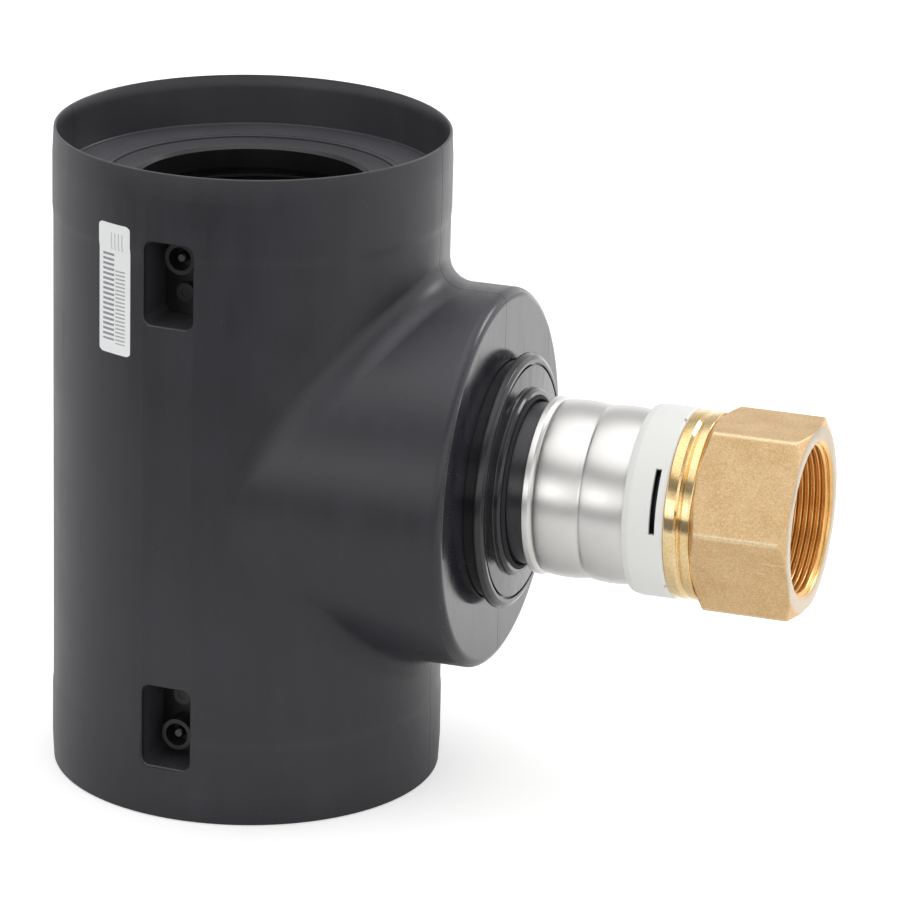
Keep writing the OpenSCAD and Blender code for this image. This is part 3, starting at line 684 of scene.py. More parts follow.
def turned(name: str, outline: Profile, axis: Axis = Axis.BRANCH, around: int = 192) -> Piece:
    """Turns a closed outline round an axis. Points at radius 0 close the solid there.

    Args:
        name: The piece's name.
        outline: (axial, radius) points.
        axis: The axis.
        around: Steps round the axis.

    Returns:
        The object.
    """
    points: list[Triple] = []
    rings: list[list[int]] = []
    for axial, radius in outline:
        if radius < 1e-6:
            rings.append([len(points)] * around)
            points.append((0.0, 0.0, axial))
            continue
        rings.append(list(range(len(points), len(points) + around)))
        for k in range(around):
            a = 2 * math.pi * k / around
            points.append((radius * math.cos(a), radius * math.sin(a), axial))
    faces = []
    for i, ring in enumerate(rings):
        ahead = rings[(i + 1) % len(rings)]
        if ring[0] == ring[1] and ahead[0] == ahead[1]:
            continue
        for k in range(around):
            q = (k + 1) % around
            faces.append(list(dict.fromkeys((ring[k], ring[q], ahead[q], ahead[k]))))
    made = mesh_piece(name, points, faces, axis.matrix())
    face_outwards(made)
    return made


def plate_outline(width: float, height: float, radius: float, steps: int = 8) -> Profile:
    """Outline of a plate with round corners, centred, anticlockwise.

    Args:
        width: Its width.
        height: Its height.
        radius: Radius of its corners.
        steps: Steps of each corner.

    Returns:
        The outline's points.
    """
    out: Profile = []
    for cx, cy, start in ((1, 1, 0), (-1, 1, 90), (-1, -1, 180), (1, -1, 270)):
        for k in range(steps + 1):
            a = math.radians(start + 90 * k / steps)
            out.append((cx * (width / 2 - radius) + radius * math.cos(a),
                        cy * (height / 2 - radius) + radius * math.sin(a)))
    return out


def lofted(name: str, sections: Sequence[Sequence[Sequence[float]]], place: Optional[Matrix] = None,
           closed: bool = False) -> Piece:
    """Joins sections of equal count into a solid.

    Args:
        name: The piece's name.
        sections: Each section's points.
        place: Matrix to the part's frame, or None.
        closed: True if the last section joins the first, else flat caps close the ends.

    Returns:
        The object.
    """
    count, size = len(sections), len(sections[0])
    points = [p for section in sections for p in section]
    faces: list[list[int]] = []
    for i in range(count if closed else count - 1):
        ahead = (i + 1) % count
        for k in range(size):
            q = (k + 1) % size
            faces.append([i * size + k, i * size + q, ahead * size + q, ahead * size + k])
    if not closed:
        faces.append(list(range(size))[::-1])
        faces.append([(count - 1) * size + k for k in range(size)])
    made = mesh_piece(name, points, faces, place)
    face_outwards(made)
    return made


def block(low: Sequence[float], high: Sequence[float], place: Optional[Matrix] = None) -> Piece:
    """A box between two corners, for use as a tool."""
    (x0, y0, z0), (x1, y1, z1) = low, high
    return lofted("tool", [[(x0, y0, z), (x1, y0, z), (x1, y1, z), (x0, y1, z)] for z in (z0, z1)], place)


class Carver:
    """Adds and cuts solids on a piece, then forgets the tools."""

    def __init__(self, piece: Piece) -> None:
        """Keeps the piece that is worked on."""
        self.piece = piece

    def _apply(self, tool: Piece, operation: str) -> "Carver":
        """Runs one boolean, bakes its result into the piece and removes the tool.

        Args:
            tool: The other solid.
            operation: The boolean's name.

        Returns:
            The carver, so that calls can follow each other.
        """
        step = self.piece.modifiers.new("step", "BOOLEAN")
        step.operation = operation
        step.solver = "MANIFOLD"
        step.object = tool
        graph = bpy.context.evaluated_depsgraph_get()
        result = bpy.data.meshes.new_from_object(self.piece.evaluated_get(graph))
        self.piece.modifiers.clear()
        old, self.piece.data = self.piece.data, result
        bpy.data.meshes.remove(old)
        bpy.data.objects.remove(tool)
        return self

    def add(self, tool: Piece) -> "Carver":
        """Joins a solid to the piece."""
        return self._apply(tool, "UNION")

    def cut(self, tool: Piece) -> "Carver":
        """Cuts a solid out of the piece."""
        return self._apply(tool, "DIFFERENCE")

    def common(self, tool: Piece) -> "Carver":
        """Keeps what the piece and a solid share."""
        return self._apply(tool, "INTERSECT")


def shade(piece: Piece, sharp: float = 32.0) -> Piece:
    """Shades a piece smooth apart from edges above an angle in degrees."""
    piece.data.shade_smooth()
    piece.data.set_sharp_from_angle(angle=math.radians(sharp))
    return piece


def dress(piece: Piece, slot: str, node: str, *finishes: Finish) -> None:
    """Gives a piece its finishes and ties it to the frame.

    Args:
        piece: The piece.
        slot: A material slot's name; not used.
        node: The CAD node that it stands for.
        finishes: Its finishes, in the order of its faces' material numbers.
    """
    piece.data.materials.clear()
    for finish in finishes:
        piece.data.materials.append(finish.material())
    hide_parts(node)
    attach(piece, "root")
    LOG.info("%s: %d faces", piece.name, len(piece.data.polygons))


def dress_node(node: str, finish: Finish, bevel: float = 0.0) -> None:
    """Gives a CAD node a finish and softened edges.

    Args:
        node: The node's name.
        finish: The finish.
        bevel: Width of the softened edges in millimetres, or 0.
    """
    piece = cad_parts[node]
    for slot in piece.material_slots:
        slot.material = finish.material()
    if bevel:
        soft = piece.modifiers.new("soft_edges", "BEVEL")
        soft.width = bevel * MM
        soft.segments = 2
        soft.limit_method = "ANGLE"
        soft.angle_limit = math.radians(40)
    LOG.info("%s: %s", node, finish.name)


# The jacket


@dataclass
class Jacket:
    """The moulded jacket in two halves, with its saddle, windows and end collars."""

    rim_r: float = 77.5
    relief: float = 0.35
    wall: float = 3.2
    collar_wall: float = 2.5
    collar_len: float = 31.0
    slope: float = 3.0
    recess: float = 20.0
    lead_in_len: float = 5.0
    lead_in: float = 0.8
    draft: float = 0.5
    draft_len: float = 10.0
    strip_w: float = 20.6
    branch_r: float = 74.5
    face_x: float = 104.6
    face_wall: float = 3.4
    edge_r: float = 4.0
    saddle_r: float = 10.0
    saddle_side_r: float = 32.0
    hole_r: float = 46.6
    window: Triple = (20.6, 33.0, 3.5)
    window_z: Pair = (216.2, 37.4)
    pocket_wall: float = 1.6
    socket_r: float = 57.0
    seam: float = 0.11
    let_in: float = 0.012
    flare: float = 0.45
    window_start: float = 30.0
    mouth_start: float = 90.0
    around: int = 288

    @property
    def barrel_r(self) -> float:
        """Radius of the barrel between the collars."""
        return self.rim_r - self.relief

    @property
    def strip_flat(self) -> float:
        """Distance of the flat strip from the run axis."""
        return math.sqrt(self.barrel_r**2 - (self.strip_w / 2) ** 2)

    def _run(self) -> Piece:
        """The run's outer form."""
        half = [(0.0, self.rim_r - self.draft, 0.5), (self.draft_len, self.rim_r, 8.0),
                (self.collar_len, self.rim_r, 25.0), (self.collar_len + self.slope, self.barrel_r, 25.0)]
        mirrored = [(JACKET_LEN - z, *rest) for z, *rest in half[::-1]]
        outline = rounded([(0.0, 0.0), *half, *mirrored, (JACKET_LEN, 0.0)], 4)
        return turned("jacket_run", outline, Axis.RUN, self.around)

    def _branch(self, radius: float, end: float, edge: float) -> Piece:
        """A bar along the branch axis with a rounded end.

        Args:
            radius: Its radius.
            end: Distance of its end from the run axis.
            edge: Radius of the rounded edge there.

        Returns:
            The solid.
        """
        outline = rounded([(0.0, 0.0), (0.0, radius), (end, radius, edge), (end, 0.0)], 12)
        return turned("jacket_branch", outline, Axis.BRANCH, self.around)

    def _saddle(self, run: float, branch: float, inset: float, steps: int = 16) -> Piece:
        """The blend between run and branch, as a closed ring of sections.

        Args:
            run: Radius of the run's surface.
            branch: Radius of the branch's surface.
            inset: Amount added to the blend's radius.
            steps: Steps across the blend.

        Returns:
            The solid.
        """
        sections = []
        deep = branch - self.wall
        lift = np.array([0.0, 0.0, BRANCH_Z])
        for i in range(self.around):
            a = 2 * math.pi * (i + 0.5) / self.around
            r = self.saddle_r + (self.saddle_side_r - self.saddle_r) * math.sin(a) ** 4 + inset
            y, z = (branch + r) * math.sin(a), (branch + r) * math.cos(a)
            ball = np.array([math.sqrt((run + r) ** 2 - y * y), y, z])
            t, b = (run - self.let_in) / (run + r), (branch - self.let_in) / (branch + r)
            on_run = np.array([ball[0] * t, ball[1] * t, ball[2]])
            on_branch = np.array([ball[0], ball[1] * b, ball[2] * b])
            u, v = on_run - ball, on_branch - ball
            u, v = u / np.linalg.norm(u), v / np.linalg.norm(v)
            arc = [ball + r * p for p in swept(u, v, 1.0, steps)[1:-1]]
            inner = np.array([math.sqrt((run - self.wall) ** 2 - (deep * math.sin(a)) ** 2),
                              deep * math.sin(a), deep * math.cos(a)])
            sections.append([tuple(p + lift) for p in (on_run, *arc, on_branch, inner)])
        return lofted("jacket_saddle", sections, closed=True)

    def _recess(self, top: bool) -> Piece:
        """The hollow of one end collar, the upper one if top is true."""
        r = self.rim_r - self.collar_wall
        points = [(-1.0, 0.0), (-1.0, r + self.lead_in + 0.3), (0.0, r + self.lead_in + 0.3),
                  (0.5, r + self.lead_in), (self.lead_in_len, r), (self.recess, r, 0.8), (self.recess, 0.0)]
        outline = rounded([(JACKET_LEN - p[0], *p[1:]) if top else p for p in points], 4)
        return turned("jacket_recess", outline, Axis.RUN, self.around)

    def _window(self, z: float, grow: float = 0.0, start: float = 0.0) -> Piece:
        """The bar of one window, flared a little where it leaves the jacket.

        Args:
            z: Height of its middle.
            grow: Amount added all round, or 0 for the flared window itself.
            start: Distance of its inner end from the run axis.

        Returns:
            The solid.
        """
        width, height, radius = self.window
        flare = self.flare
        outline = plate_outline(width + 2 * grow, height + 2 * grow, radius + grow)
        sections = [[(x, y, start) for x, y in outline]]
        if not grow:
            wide = plate_outline(width + 2 * flare, height + 2 * flare, radius + flare)
            for reach, points in ((self.strip_flat - flare, outline), (self.strip_flat + 0.05, wide),
                                  (self.rim_r + 2, wide)):
                sections.append([(x, y, reach) for x, y in points])
        else:
            sections.append([(x, y, self.rim_r + 2) for x, y in outline])
        return lofted("jacket_window", sections, spoke(z))

    def _core(self, low: float, high: float, radius: float) -> Piece:
        """A plain bar along the run axis between two heights."""
        return turned("tool", [(low, 0.0), (low, radius), (high, radius), (high, 0.0)], Axis.RUN, self.around)

    def _pocket(self, z: float) -> Piece:
        """The liner behind the window at a height."""
        rim = self._core(0.0, JACKET_LEN, self.barrel_r - self.wall / 2)
        core = self._core(-1.0, JACKET_LEN + 1, self.socket_r + 0.2)
        return Carver(self._window(z, self.pocket_wall)).common(rim).cut(core).piece

    def _true_normals(self, piece: Piece) -> None:
        """Sets exact normals on the barrel, the branch, the strip and the face, so that cuts leave no marks.

        Args:
            piece: One half of the jacket.
        """
        mesh = piece.data
        normals = column(mesh.corner_normals, "vector", 3)
        at = column(mesh.vertices, "co", 3)[column(mesh.loops, "vertex_index", 1, np.int32)] / MM
        totals = column(mesh.polygons, "loop_total", 1, np.int32)
        face = np.repeat(column(mesh.polygons, "normal", 3), totals, axis=0)
        way = math.radians(WINDOW_DIR)
        flat = np.array([math.cos(way), math.sin(way), 0.0])
        on_strip = (face @ flat > 0.99995) & (np.abs(at @ flat - self.strip_flat) < 0.02)
        radial = at * np.array([1, 1, 0])
        reach = np.linalg.norm(radial, axis=1)
        radial /= np.maximum(reach, 1e-6)[:, None]
        middle = np.abs(at[:, 2] - JACKET_LEN / 2) < JACKET_LEN / 2 - self.collar_len - self.slope - 1
        along = np.einsum("ij,ij->i", face, radial) > 0.9985
        on_run = (np.abs(reach - self.barrel_r) < 0.03) & along & middle & ~on_strip
        out = (at - np.array([0, 0, BRANCH_Z])) * np.array([0, 1, 1])
        size = np.linalg.norm(out, axis=1)
        out /= np.maximum(size, 1e-6)[:, None]
        on_branch = (np.abs(size - self.branch_r) < 0.03) & (np.einsum("ij,ij->i", face, out) > 0.9985)
        on_face = face[:, 0] > 0.9999
        normals[on_run], normals[on_branch] = radial[on_run], out[on_branch]
        normals[on_strip], normals[on_face] = flat, (1.0, 0.0, 0.0)
        mesh.normals_split_custom_set(normals.tolist())

    def build(self) -> None:
        """Builds both halves and dresses them."""
        inner_run, inner_branch = self.barrel_r - self.wall, self.branch_r - self.wall
        shoulder = self.collar_len + self.slope
        strip = block((self.strip_flat, -80, shoulder), (self.rim_r + 1, 80, JACKET_LEN - shoulder),
                      Matrix.Rotation(math.radians(WINDOW_DIR), 4, "Z"))
        mouth = turned("tool", [
            (self.mouth_start, 0.0), (self.mouth_start, self.hole_r), (self.face_x - 0.4, self.hole_r),
            (self.face_x + 0.1, self.hole_r + 0.5), (self.face_x + 2, self.hole_r + 0.5),
            (self.face_x + 2, 0.0)], Axis.BRANCH, self.around)
        body = Carver(self._run())
        body.cut(strip).add(self._branch(self.branch_r, self.face_x, self.edge_r))
        body.add(self._saddle(self.barrel_r, self.branch_r, 0.0))
        body.cut(self._core(self.recess, JACKET_LEN - self.recess, inner_run))
        body.cut(self._branch(inner_branch, self.face_x - self.face_wall, 3.0))
        body.cut(self._saddle(inner_run, inner_branch, self.wall))
        body.cut(self._recess(False)).cut(self._recess(True)).cut(mouth)
        for name, node, low, high in (("jacket_front_shell", "jacket_front", -200.0, -self.seam),
                                      ("jacket_rear_shell", "jacket_rear", self.seam, 200.0)):
            half = Carver(placed(name, body.piece.data.copy()))
            half.common(block((-200, low, -10), (200, high, JACKET_LEN + 10)))
            if node == "jacket_front":
                for z in self.window_z:
                    half.add(self._pocket(z))
                for z in self.window_z:
                    half.cut(self._window(z, start=self.window_start))
                half.cut(self._recess(False)).cut(self._recess(True))
            shade(half.piece, 24.0)
            self._true_normals(half.piece)
            dress(half.piece, "jacket", node, JACKET)
        bpy.data.objects.remove(body.piece)


@dataclass
class Label:
    """The label on the front half: a thin sheet that follows the collar and the barrel."""

    width: float = 16.0
    height: float = 51.5
    middle_z: float = 211.0
    direction: float = -111.5
    corner: float = 1.6
    lift: float = 0.10
    columns: int = 16
    rows: int = 60

    def build(self, jacket: Jacket) -> None:
        """Builds the sheet and its UV map.

        Args:
            jacket: The jacket that it lies on.
        """
        def radius(z: float) -> float:
            """Radius of the sheet at a height."""
            low = JACKET_LEN - jacket.collar_len - jacket.slope
            share = min(max((z - low) / jacket.slope, 0.0), 1.0)
            return jacket.barrel_r + (jacket.rim_r - jacket.barrel_r) * share + self.lift

        points, uvs, faces = [], [], []
        for j in range(self.rows + 1):
            v = j / self.rows
            z = self.middle_z + (v - 0.5) * self.height
            edge = min(v, 1 - v) * self.height
            pull = self.corner - math.sqrt(max(self.corner**2 - max(self.corner - edge, 0.0) ** 2, 0.0))
            for i in range(self.columns + 1):
                x = (i / self.columns - 0.5) * (self.width - 2 * pull)
                a = math.radians(self.direction) + math.asin(x / radius(z))
                points.append((radius(z) * math.cos(a), radius(z) * math.sin(a), z))
                uvs.append((x / self.width + 0.5, v))
        for j in range(self.rows):
            for i in range(self.columns):
                k = j * (self.columns + 1) + i
                faces.append([k, k + 1, k + self.columns + 2, k + self.columns + 1])
        piece = mesh_piece("label_sheet", points, faces)
        layer = piece.data.uv_layers.new(name="label")
        for loop in piece.data.loops:
            layer.data[loop.index].uv = uvs[loop.vertex_index]
        piece.data.shade_smooth()
        dress(piece, "label", "label", LABEL)


# The branch


@dataclass
class BranchCap:
    """The flanged cap in the branch face, its lip seal and the pipe that leaves it."""

    flange_r: float = 50.0
    neck_x: float = 109.5
    front_x: float = 113.1
    bevel: float = 2.4
    groove: Triple = (45.3, 46.2, 1.5)
    collar_r: float = 36.7
    collar_t: float = 2.8
    back_x: float = 97.2
    plug_r: float = 46.4
    seal_r: float = 33.9
    pipe_r: float = 31.5
    pipe_bore_r: float = 25.7
    weld_x: float = 86.0
    bead: float = 1.2
    bead_w: float = 5.6
    pipe_end_x: float = 179.0

    def build(self) -> None:
        """Builds the three turned pieces."""
        g0, g1, deep = self.groove
        back, neck, front, flange, bevel = self.back_x, self.neck_x, self.front_x, self.flange_r, self.bevel
        top = front + self.collar_t
        cap = turned("branch_cap_turned", rounded([
            (back, self.seal_r + 0.1), (back, self.plug_r - 1), (back + 1, self.plug_r), (neck, self.plug_r),
            (neck, flange, 0.4), (front - bevel, flange, 0.9), (front - bevel / 3, flange - bevel / 3, 0.8),
            (front, flange - bevel, 0.8), (front, g1, 0.2), (front - deep, g1), (front - deep, g0),
            (front, g0, 0.2), (front, self.collar_r, 0.5), (top - 1, self.collar_r, 0.6),
            (top, self.collar_r - 1, 0.6), (top, self.seal_r + 0.1, 0.2)], 5), around=256)
        dress(shade(cap, 40), "cap", "branch_cap", CAP)
        lip = top + 0.9
        seal = turned("lip_seal_turned", rounded([
            (back, self.pipe_r + 0.1), (back, self.seal_r), (top - 0.2, self.seal_r, 0.3),
            (lip, self.seal_r - 0.9, 0.5), (lip, self.pipe_r + 0.9, 0.4),
            (lip - 1.8, self.pipe_r + 0.1, 0.3)], 4))
        dress(shade(seal, 40), "rubber", "lip_seal", RUBBER)
        pipe = turned("branch_pipe_turned", rounded([
            (self.weld_x, self.pipe_bore_r), (self.weld_x, self.pipe_r + self.bead, 1.0),
            (self.weld_x + self.bead_w - 0.8, self.pipe_r + self.bead, 2.0),
            (self.weld_x + self.bead_w, self.pipe_r, 0.8), (self.pipe_end_x, self.pipe_r, 0.6),
            (self.pipe_end_x, self.pipe_bore_r, 0.4)], 5))
        dress(shade(pipe, 40), "pipe", "branch_pipe", PIPE)


@dataclass
class PressSleeve:
    """The pressed steel sleeve: a flared ring and two swollen barrels."""

    start_x: float = 123.3
    flare_w: float = 4.0
    flare_r: float = 34.7
    waist_r: float = 33.4
    barrel_w: float = 18.3
    swell: float = 1.1
    fullness: float = 0.6
    end_x: float = 168.2
    wall: float = 1.7
    steps: int = 24

    def build(self) -> None:
        """Builds the sleeve."""
        x1 = self.start_x + self.flare_w
        outer: Profile = rounded([
            (self.start_x + self.wall, self.waist_r - self.wall), (self.start_x, self.flare_r - 1.0, 0.5),
            (self.start_x + 0.5, self.flare_r, 0.5), (x1 - 1.2, self.flare_r, 0.5),
            (x1 - 0.5, self.flare_r - 0.6, 0.3), (x1, self.waist_r + 0.1)], 5)[:-1]
        body: Profile = []
        for barrel in range(2):
            for k in range(1 if barrel else 0, self.steps + 1):
                t = k / self.steps
                swell = self.swell * math.sin(math.pi * t) ** self.fullness
                body.append((x1 + (barrel + t) * self.barrel_w, self.waist_r + swell))
        body.append((self.end_x, self.waist_r))
        inner = [(x, r - self.wall) for x, r in body[::-1]]
        piece = turned("press_sleeve_turned", outer + body + inner, around=256)
        dress(shade(piece, 50), "steel", "press_sleeve", STEEL)


@dataclass
class SlottedRing:
    """The white ring with viewing slots and small notches between them."""

    start_x: float = 164.2
    end_x: float = 180.5
    radius: float = 37.1
    inner_r: float = 31.7
    lip_r: float = 33.6
    lip_x: float = 168.4
    bevel: float = 1.4
    slots: int = 3
    arc: float = 40.0
    slot_x: Pair = (175.2, 177.6)
    turn: float = 18.0
    notch: Pair = (2.2, 1.1)
    steps: int = 16

    def build(self) -> None:
        """Builds the ring."""
        piece = turned("slotted_ring_turned", rounded([
            (self.lip_x, self.inner_r), (self.lip_x, self.lip_r), (self.start_x, self.lip_r, 0.2),
            (self.start_x, self.radius - self.bevel / 2, 0.5),
            (self.start_x + 2 * self.bevel, self.radius, 2.5),
            (self.end_x - 0.8, self.radius, 0.6), (self.end_x, self.radius - 0.8, 0.4),
            (self.end_x, self.inner_r)], 5), around=240)
        work = Carver(piece)
        width, deep = self.notch
        low, high = self.slot_x
        inner, outer = self.inner_r - 1, self.radius + 2
        for k in range(self.slots):
            middle = self.turn + 360.0 * k / self.slots
            sections = []
            for i in range(self.steps + 1):
                a = math.radians(middle - self.arc / 2 + self.arc * i / self.steps)
                sections.append([(x, -r * math.cos(a), BRANCH_Z + r * math.sin(a))
                                 for x, r in ((low, inner), (high, inner), (high, outer), (low, outer))])
            work.cut(lofted("tool", sections))
            a = middle + 180.0 / self.slots
            tilt = Matrix.Translation((0, 0, BRANCH_Z)) @ Matrix.Rotation(math.radians(180 - a), 4, "X")
            work.cut(block((self.end_x - deep, self.radius - deep, -width / 2),
                           (self.end_x + 1, outer, width / 2), tilt))
        dress(shade(work.piece, 35), "ring", "slotted_ring", WHITE)


class Skin(Enum):
    """The adapter's finishes, numbered as its material slots."""

    CAST = 0
    TURNED = 1
    FACED = 2
    THREADED = 3


@dataclass
class BrassAdapter:
    """The brass adapter: nipple, grooved collar, hexagon and threaded mouth, as one grid of rings."""

    start_x: float = 180.5
    collar_r: float = 36.6
    collar_w: float = 10.4
    vee: Triple = (5.7, 3.0, 1.6)
    flats: float = 71.0
    turn: float = 3.25
    end_x: float = 229.2
    chamfer: float = 27.0
    chamfer_gap: float = 0.6
    face_over: float = 0.5
    corner_cut: float = 0.28
    minor_r: float = 28.33
    major_r: float = 29.75
    pitch: float = 2.309
    pitch_steps: int = 14
    crest: Pair = (0.09, 0.82)
    thread_len: float = 24.0
    fade_len: float = 3.0
    mouth_r: float = 30.2
    nipple_x: float = 128.0
    nipple_r: float = 25.4
    nipple_end: float = 180.0
    seals_x: Pair = (138.0, 154.0)
    seal_w: float = 2.8
    seal_floor: float = 23.3
    bore_r: float = 21.0
    blend: float = 0.35
    edge_steps: tuple[float, ...] = (0.0, 0.12, 0.3, 0.5, 0.8, 1.1, 1.5, 1.9, 2.3, 2.7, 3.1, 3.5, 4.0, 5.0)

    def _angles(self) -> np.ndarray:
        """Angles round the axis, closer together at the hexagon's corners."""
        out: list[float] = []
        for k in range(6):
            corner = self.turn + 60 * k
            out += [corner + d for d in np.concatenate([np.linspace(-3, 3, 25), np.linspace(6, 54, 17)])]
        return np.radians(np.array(out))

    def _hexagon(self, angles: np.ndarray, x: float) -> np.ndarray:
        """Radius of the hexagon at each angle, cut by its two chamfers, with soft edges.

        Args:
            angles: Angles round the axis.
            x: Distance from the run axis.

        Returns:
            The radii.
        """
        half = self.flats / 2
        off = (np.degrees(angles) - self.turn) % 60 - 30
        flat = half / np.cos(np.radians(off))
        tip = half / math.cos(math.radians(30)) - self.corner_cut
        slope = 1 / math.tan(math.radians(self.chamfer))
        front = half + self.face_over + (self.end_x - x) * slope
        rear = half + 2 * self.face_over + (x - self.start_x - self.collar_w - self.chamfer_gap) * slope
        flat = self._soft(flat, tip, 0.5)
        return self._soft(self._soft(flat, front, self.blend), rear, self.blend)

    @staticmethod
    def _soft(a: np.ndarray, b: float, width: float) -> np.ndarray:
        """The smaller of two values, rounded over a width where they cross."""
        h = np.clip(0.5 + 0.5 * (b - a) / width, 0, 1)
        return b * (1 - h) + a * h - width * h * (1 - h)

    def build(self) -> None:
        """Builds the adapter."""
        angles = self._angles()
        ones = np.ones_like(angles)
        rings: list[tuple[np.ndarray, np.ndarray, Skin]] = []

        def put(x: float, r: Union[float, np.ndarray], skin: Skin) -> None:
            """Adds a ring of points and the skin of the band that leads to it."""
            rings.append((x * ones, r * ones, skin))

        grooves = [(x + side * self.seal_w / 2, r) for x in self.seals_x for side, r in (
            (-1, self.nipple_r), (-1, self.seal_floor), (1, self.seal_floor), (1, self.nipple_r))]
        nipple = rounded([(self.nipple_x, self.nipple_r - 1, 0.3), (self.nipple_x + 2, self.nipple_r, 0.3),
                          *grooves, (self.nipple_end, self.nipple_r)], 3)
        v_in, v_w, v_deep = self.vee
        end = self.start_x + self.collar_w
        start = end + self.chamfer_gap
        collar = rounded([
            (self.start_x, self.nipple_r), (self.start_x, self.collar_r, 0.7),
            (self.start_x + v_in - v_w / 2, self.collar_r, 0.3),
            (self.start_x + v_in, self.collar_r - v_deep, 0.5),
            (self.start_x + v_in + v_w / 2, self.collar_r, 0.3), (end, self.collar_r, 0.7),
            (end + 0.2, self.collar_r - 1.2, 0.3), (start, self.collar_r - 0.9)], 5)
        for x, r in nipple[:-1] + collar[:-1]:
            put(x, r, Skin.TURNED)
        stations = [start + d for d in self.edge_steps] + list(np.linspace(start + 7, self.end_x - 7, 10))
        for x in stations + [self.end_x - d for d in self.edge_steps[::-1]]:
            put(x, self._hexagon(angles, x), Skin.CAST)
        face_r = self.flats / 2 + self.face_over - 0.2
        rings[-1] = (self.end_x * ones - 0.08, rings[-1][1], Skin.CAST)
        put(self.end_x, np.minimum(self._hexagon(angles, self.end_x - 0.05), face_r) - 0.12, Skin.FACED)
        put(self.end_x, self.mouth_r + 0.25, Skin.FACED)
        put(self.end_x - 0.1, self.mouth_r, Skin.FACED)
        for d in np.arange(0, self.thread_len + 1e-6, self.pitch / self.pitch_steps):
            phase = (d / self.pitch + angles / (2 * math.pi)) % 1.0
            crest = np.clip((np.abs(phase - 0.5) * 2 - self.crest[0]) / self.crest[1], 0, 1)
            wave = crest * crest * (3 - 2 * crest) * 0.35 + crest * 0.65
            taper = max(self.mouth_r - 0.1 - d * 0.9, 0.0)
            fade = min(max((self.thread_len - d) / self.fade_len, 0.0), 1.0)
            cut = self.minor_r + (self.major_r - self.minor_r) * wave * fade
            put(self.end_x - 0.2 - d, np.maximum(cut, taper), Skin.THREADED)
        bottom = self.end_x - 0.2 - self.thread_len
        for x, r in ((bottom - 0.8, self.minor_r), (bottom - 6.0, self.bore_r + 0.4),
                     (bottom - 6.6, self.bore_r), (self.nipple_x + 0.4, self.bore_r),
                     (self.nipple_x, self.bore_r + 0.4)):
            put(x, r, Skin.TURNED)
        piece = lofted("brass_adapter_body", [
            [(x, -r * math.cos(a), BRANCH_Z + r * math.sin(a)) for x, r, a in zip(xs, rs, angles)]
            for xs, rs, _ in rings], closed=True)
        dress(shade(piece, 50), "brass", "brass_adapter", CAST, TURNED, FACED, THREADED)
        skins = [skin.value for _, _, skin in rings]
        numbers = np.repeat(skins[1:] + skins[:1], len(angles))
        piece.data.polygons.foreach_set("material_index", numbers.astype(np.int32))


# What stays as the solids have it


@dataclass
class InnerPieces:
    """The inner tee, rings, coils, pins and seals, which keep their own meshes."""

    finishes: dict[str, tuple[Finish, float]] = field(default_factory=lambda: {
        "inner_tee": (TEE, 0.35), "insulation": (FOAM, 0.0),
        "end_ring_upper": (END_RING, 0.1), "end_ring_lower": (END_RING, 0.1),
        "coil_upper": (WIRE, 0.0), "coil_lower": (WIRE, 0.0), "coil_link": (WIRE, 0.0),
        "terminal_upper": (PIN, 0.1), "terminal_lower": (PIN, 0.1),
        "indicator_upper": (PIN_BLACK, 0.15), "indicator_lower": (PIN_BLACK, 0.15),
        "nipple_seal_inner": (RUBBER, 0.0), "nipple_seal_outer": (RUBBER, 0.0)})

    def build(self) -> None:
        """Dresses the nodes."""
        for node, (finish, bevel) in self.finishes.items():
            dress_node(node, finish, bevel)


# The studio


@dataclass(frozen=True)
class Lamp:
    """A rectangular soft lamp, in metres and watts, that faces a point."""

    name: str
    at: Triple
    aim: Triple
    size: Pair
    power: float

    def build(self) -> None:
        """Places the lamp."""
        data = bpy.data.lights.new(self.name, "AREA")
        data.shape = "RECTANGLE"
        data.size, data.size_y = self.size
        data.energy = self.power
        lamp = placed(self.name, data)
        lamp.location = self.at
        lamp.rotation_euler = (Vector(self.aim) - Vector(self.at)).to_track_quat("-Z", "Y").to_euler()
        lamp.visible_camera = False


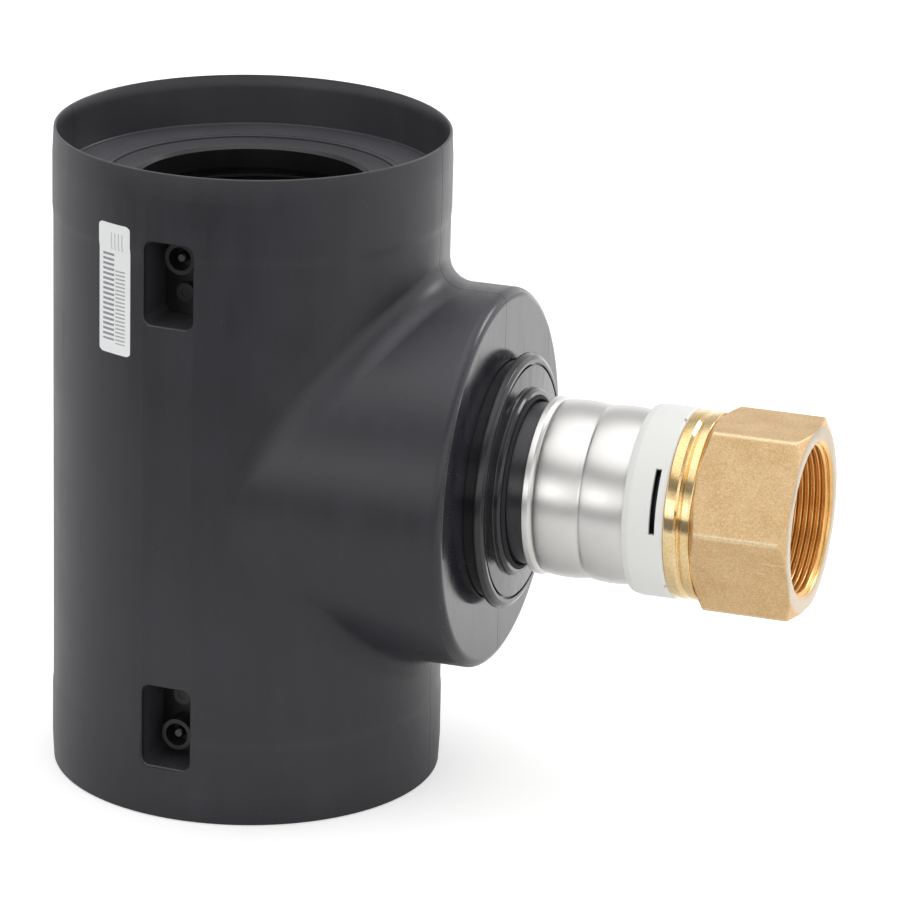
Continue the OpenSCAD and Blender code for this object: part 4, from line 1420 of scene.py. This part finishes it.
@dataclass
class Studio:
    """White floor, soft lamps, a pale world and the camera."""

    azimuth: float = 18.54
    elevation: float = 18.85
    roll: float = 1.38
    target: Triple = (74.73, 25.07, 129.69)
    distance: float = 2104.76
    focal_px: float = 5345.0
    frame_px: float = 900.0
    floor_half: float = 6.0
    floor_drop: float = 0.0002
    world: float = 1.56
    sky_y: Pair = (-0.25, 0.35)
    front_sky: tuple[Pair, ...] = (
        (0, 0.70), (5, 0.85), (14, 0.85), (24, 0.60), (33, 0.18), (42, 0.22), (52, 0.85), (72, 1.0))
    back_sky: tuple[Pair, ...] = (
        (0, 0.85), (8, 0.70), (20, 0.50), (40, 0.36), (52, 0.50), (64, 0.90), (80, 1.0))
    lamps: tuple[Lamp, ...] = (
        Lamp("key", (-0.58, -1.9, 0.55), (0.05, 0.0, 0.13), (0.8, 0.6), 1.0),
        Lamp("rim", (1.2, 1.2, 1.10), (0.05, 0.0, 0.15), (0.60, 0.55), 6.0))

    def _camera(self) -> None:
        """Places the camera."""
        a, e, roll = (math.radians(v) for v in (self.azimuth, self.elevation, self.roll))
        back = Vector((math.sin(a) * math.cos(e), -math.cos(a) * math.cos(e), math.sin(e)))
        right = Vector((math.cos(a), math.sin(a), 0.0))
        up = back.cross(right)
        cos, sin = math.cos(roll), math.sin(roll)
        right, up = cos * right + sin * up, cos * up - sin * right
        data = bpy.data.cameras.new("camera")
        data.sensor_width = 36.0
        data.lens = 36.0 * self.focal_px / self.frame_px
        data.clip_start, data.clip_end = 0.05, 50.0
        camera = placed("camera", data)
        turn = Matrix((right, up, back)).transposed().to_4x4()
        camera.matrix_world = Matrix.Translation((Vector(self.target) + self.distance * back) * MM) @ turn
        bpy.context.scene.camera = camera

    def _floor(self) -> None:
        """Lays the floor."""
        size = self.floor_half / MM
        corners = [(-size, -size, 0), (size, -size, 0), (size, size, 0), (-size, size, 0)]
        floor = mesh_piece("floor", corners, [[0, 1, 2, 3]])
        floor.location.z = -self.floor_drop
        floor.data.materials.append(FLOOR.material())

    def _world(self) -> None:
        """A pale world with a softer band at half height: white to the camera."""
        world = bpy.data.worlds.new("world")
        bpy.context.scene.world = world
        world.use_nodes = True
        paint = Paint(world.node_tree)
        _, y, z = paint.parts(paint.place("Generated"))

        def sky(levels: Sequence[Pair]) -> Wire:
            """Grey levels by elevation in degrees."""
            stops = [(math.sin(math.radians(up)), (level, level, level)) for up, level in levels]
            return paint.node("ShaderNodeValToRGB", {"Fac": z}, stops=stops)["Color"]

        colour = paint.mix(y.ramp(*self.sky_y), sky(self.front_sky), sky(self.back_sky))
        light = paint.node("ShaderNodeBackground", {"Color": colour, "Strength": self.world})
        white = paint.node("ShaderNodeBackground", {"Color": (1.0, 1.0, 1.0), "Strength": 1.0})
        path = paint.node("ShaderNodeLightPath")
        both = paint.node("ShaderNodeMixShader", {
            0: path["Is Camera Ray"], 1: light["Background"], 2: white["Background"]})
        paint.node("ShaderNodeOutputWorld", {"Surface": both["Shader"]})

    def build(self) -> None:
        """Builds the studio."""
        bpy.context.scene.view_settings.view_transform = "Standard"
        self._camera()
        self._floor()
        self._world()
        for lamp in self.lamps:
            lamp.build()


def main() -> None:
    """Builds every piece in order."""
    logging.basicConfig(level=logging.INFO, format="%(name)s %(message)s")
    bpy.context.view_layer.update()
    jacket = Jacket()
    jacket.build()
    Label().build(jacket)
    for part in (BranchCap(), PressSleeve(), SlottedRing(), BrassAdapter(), InnerPieces(), Studio()):
        part.build()


if __name__ == "__main__":
    main()
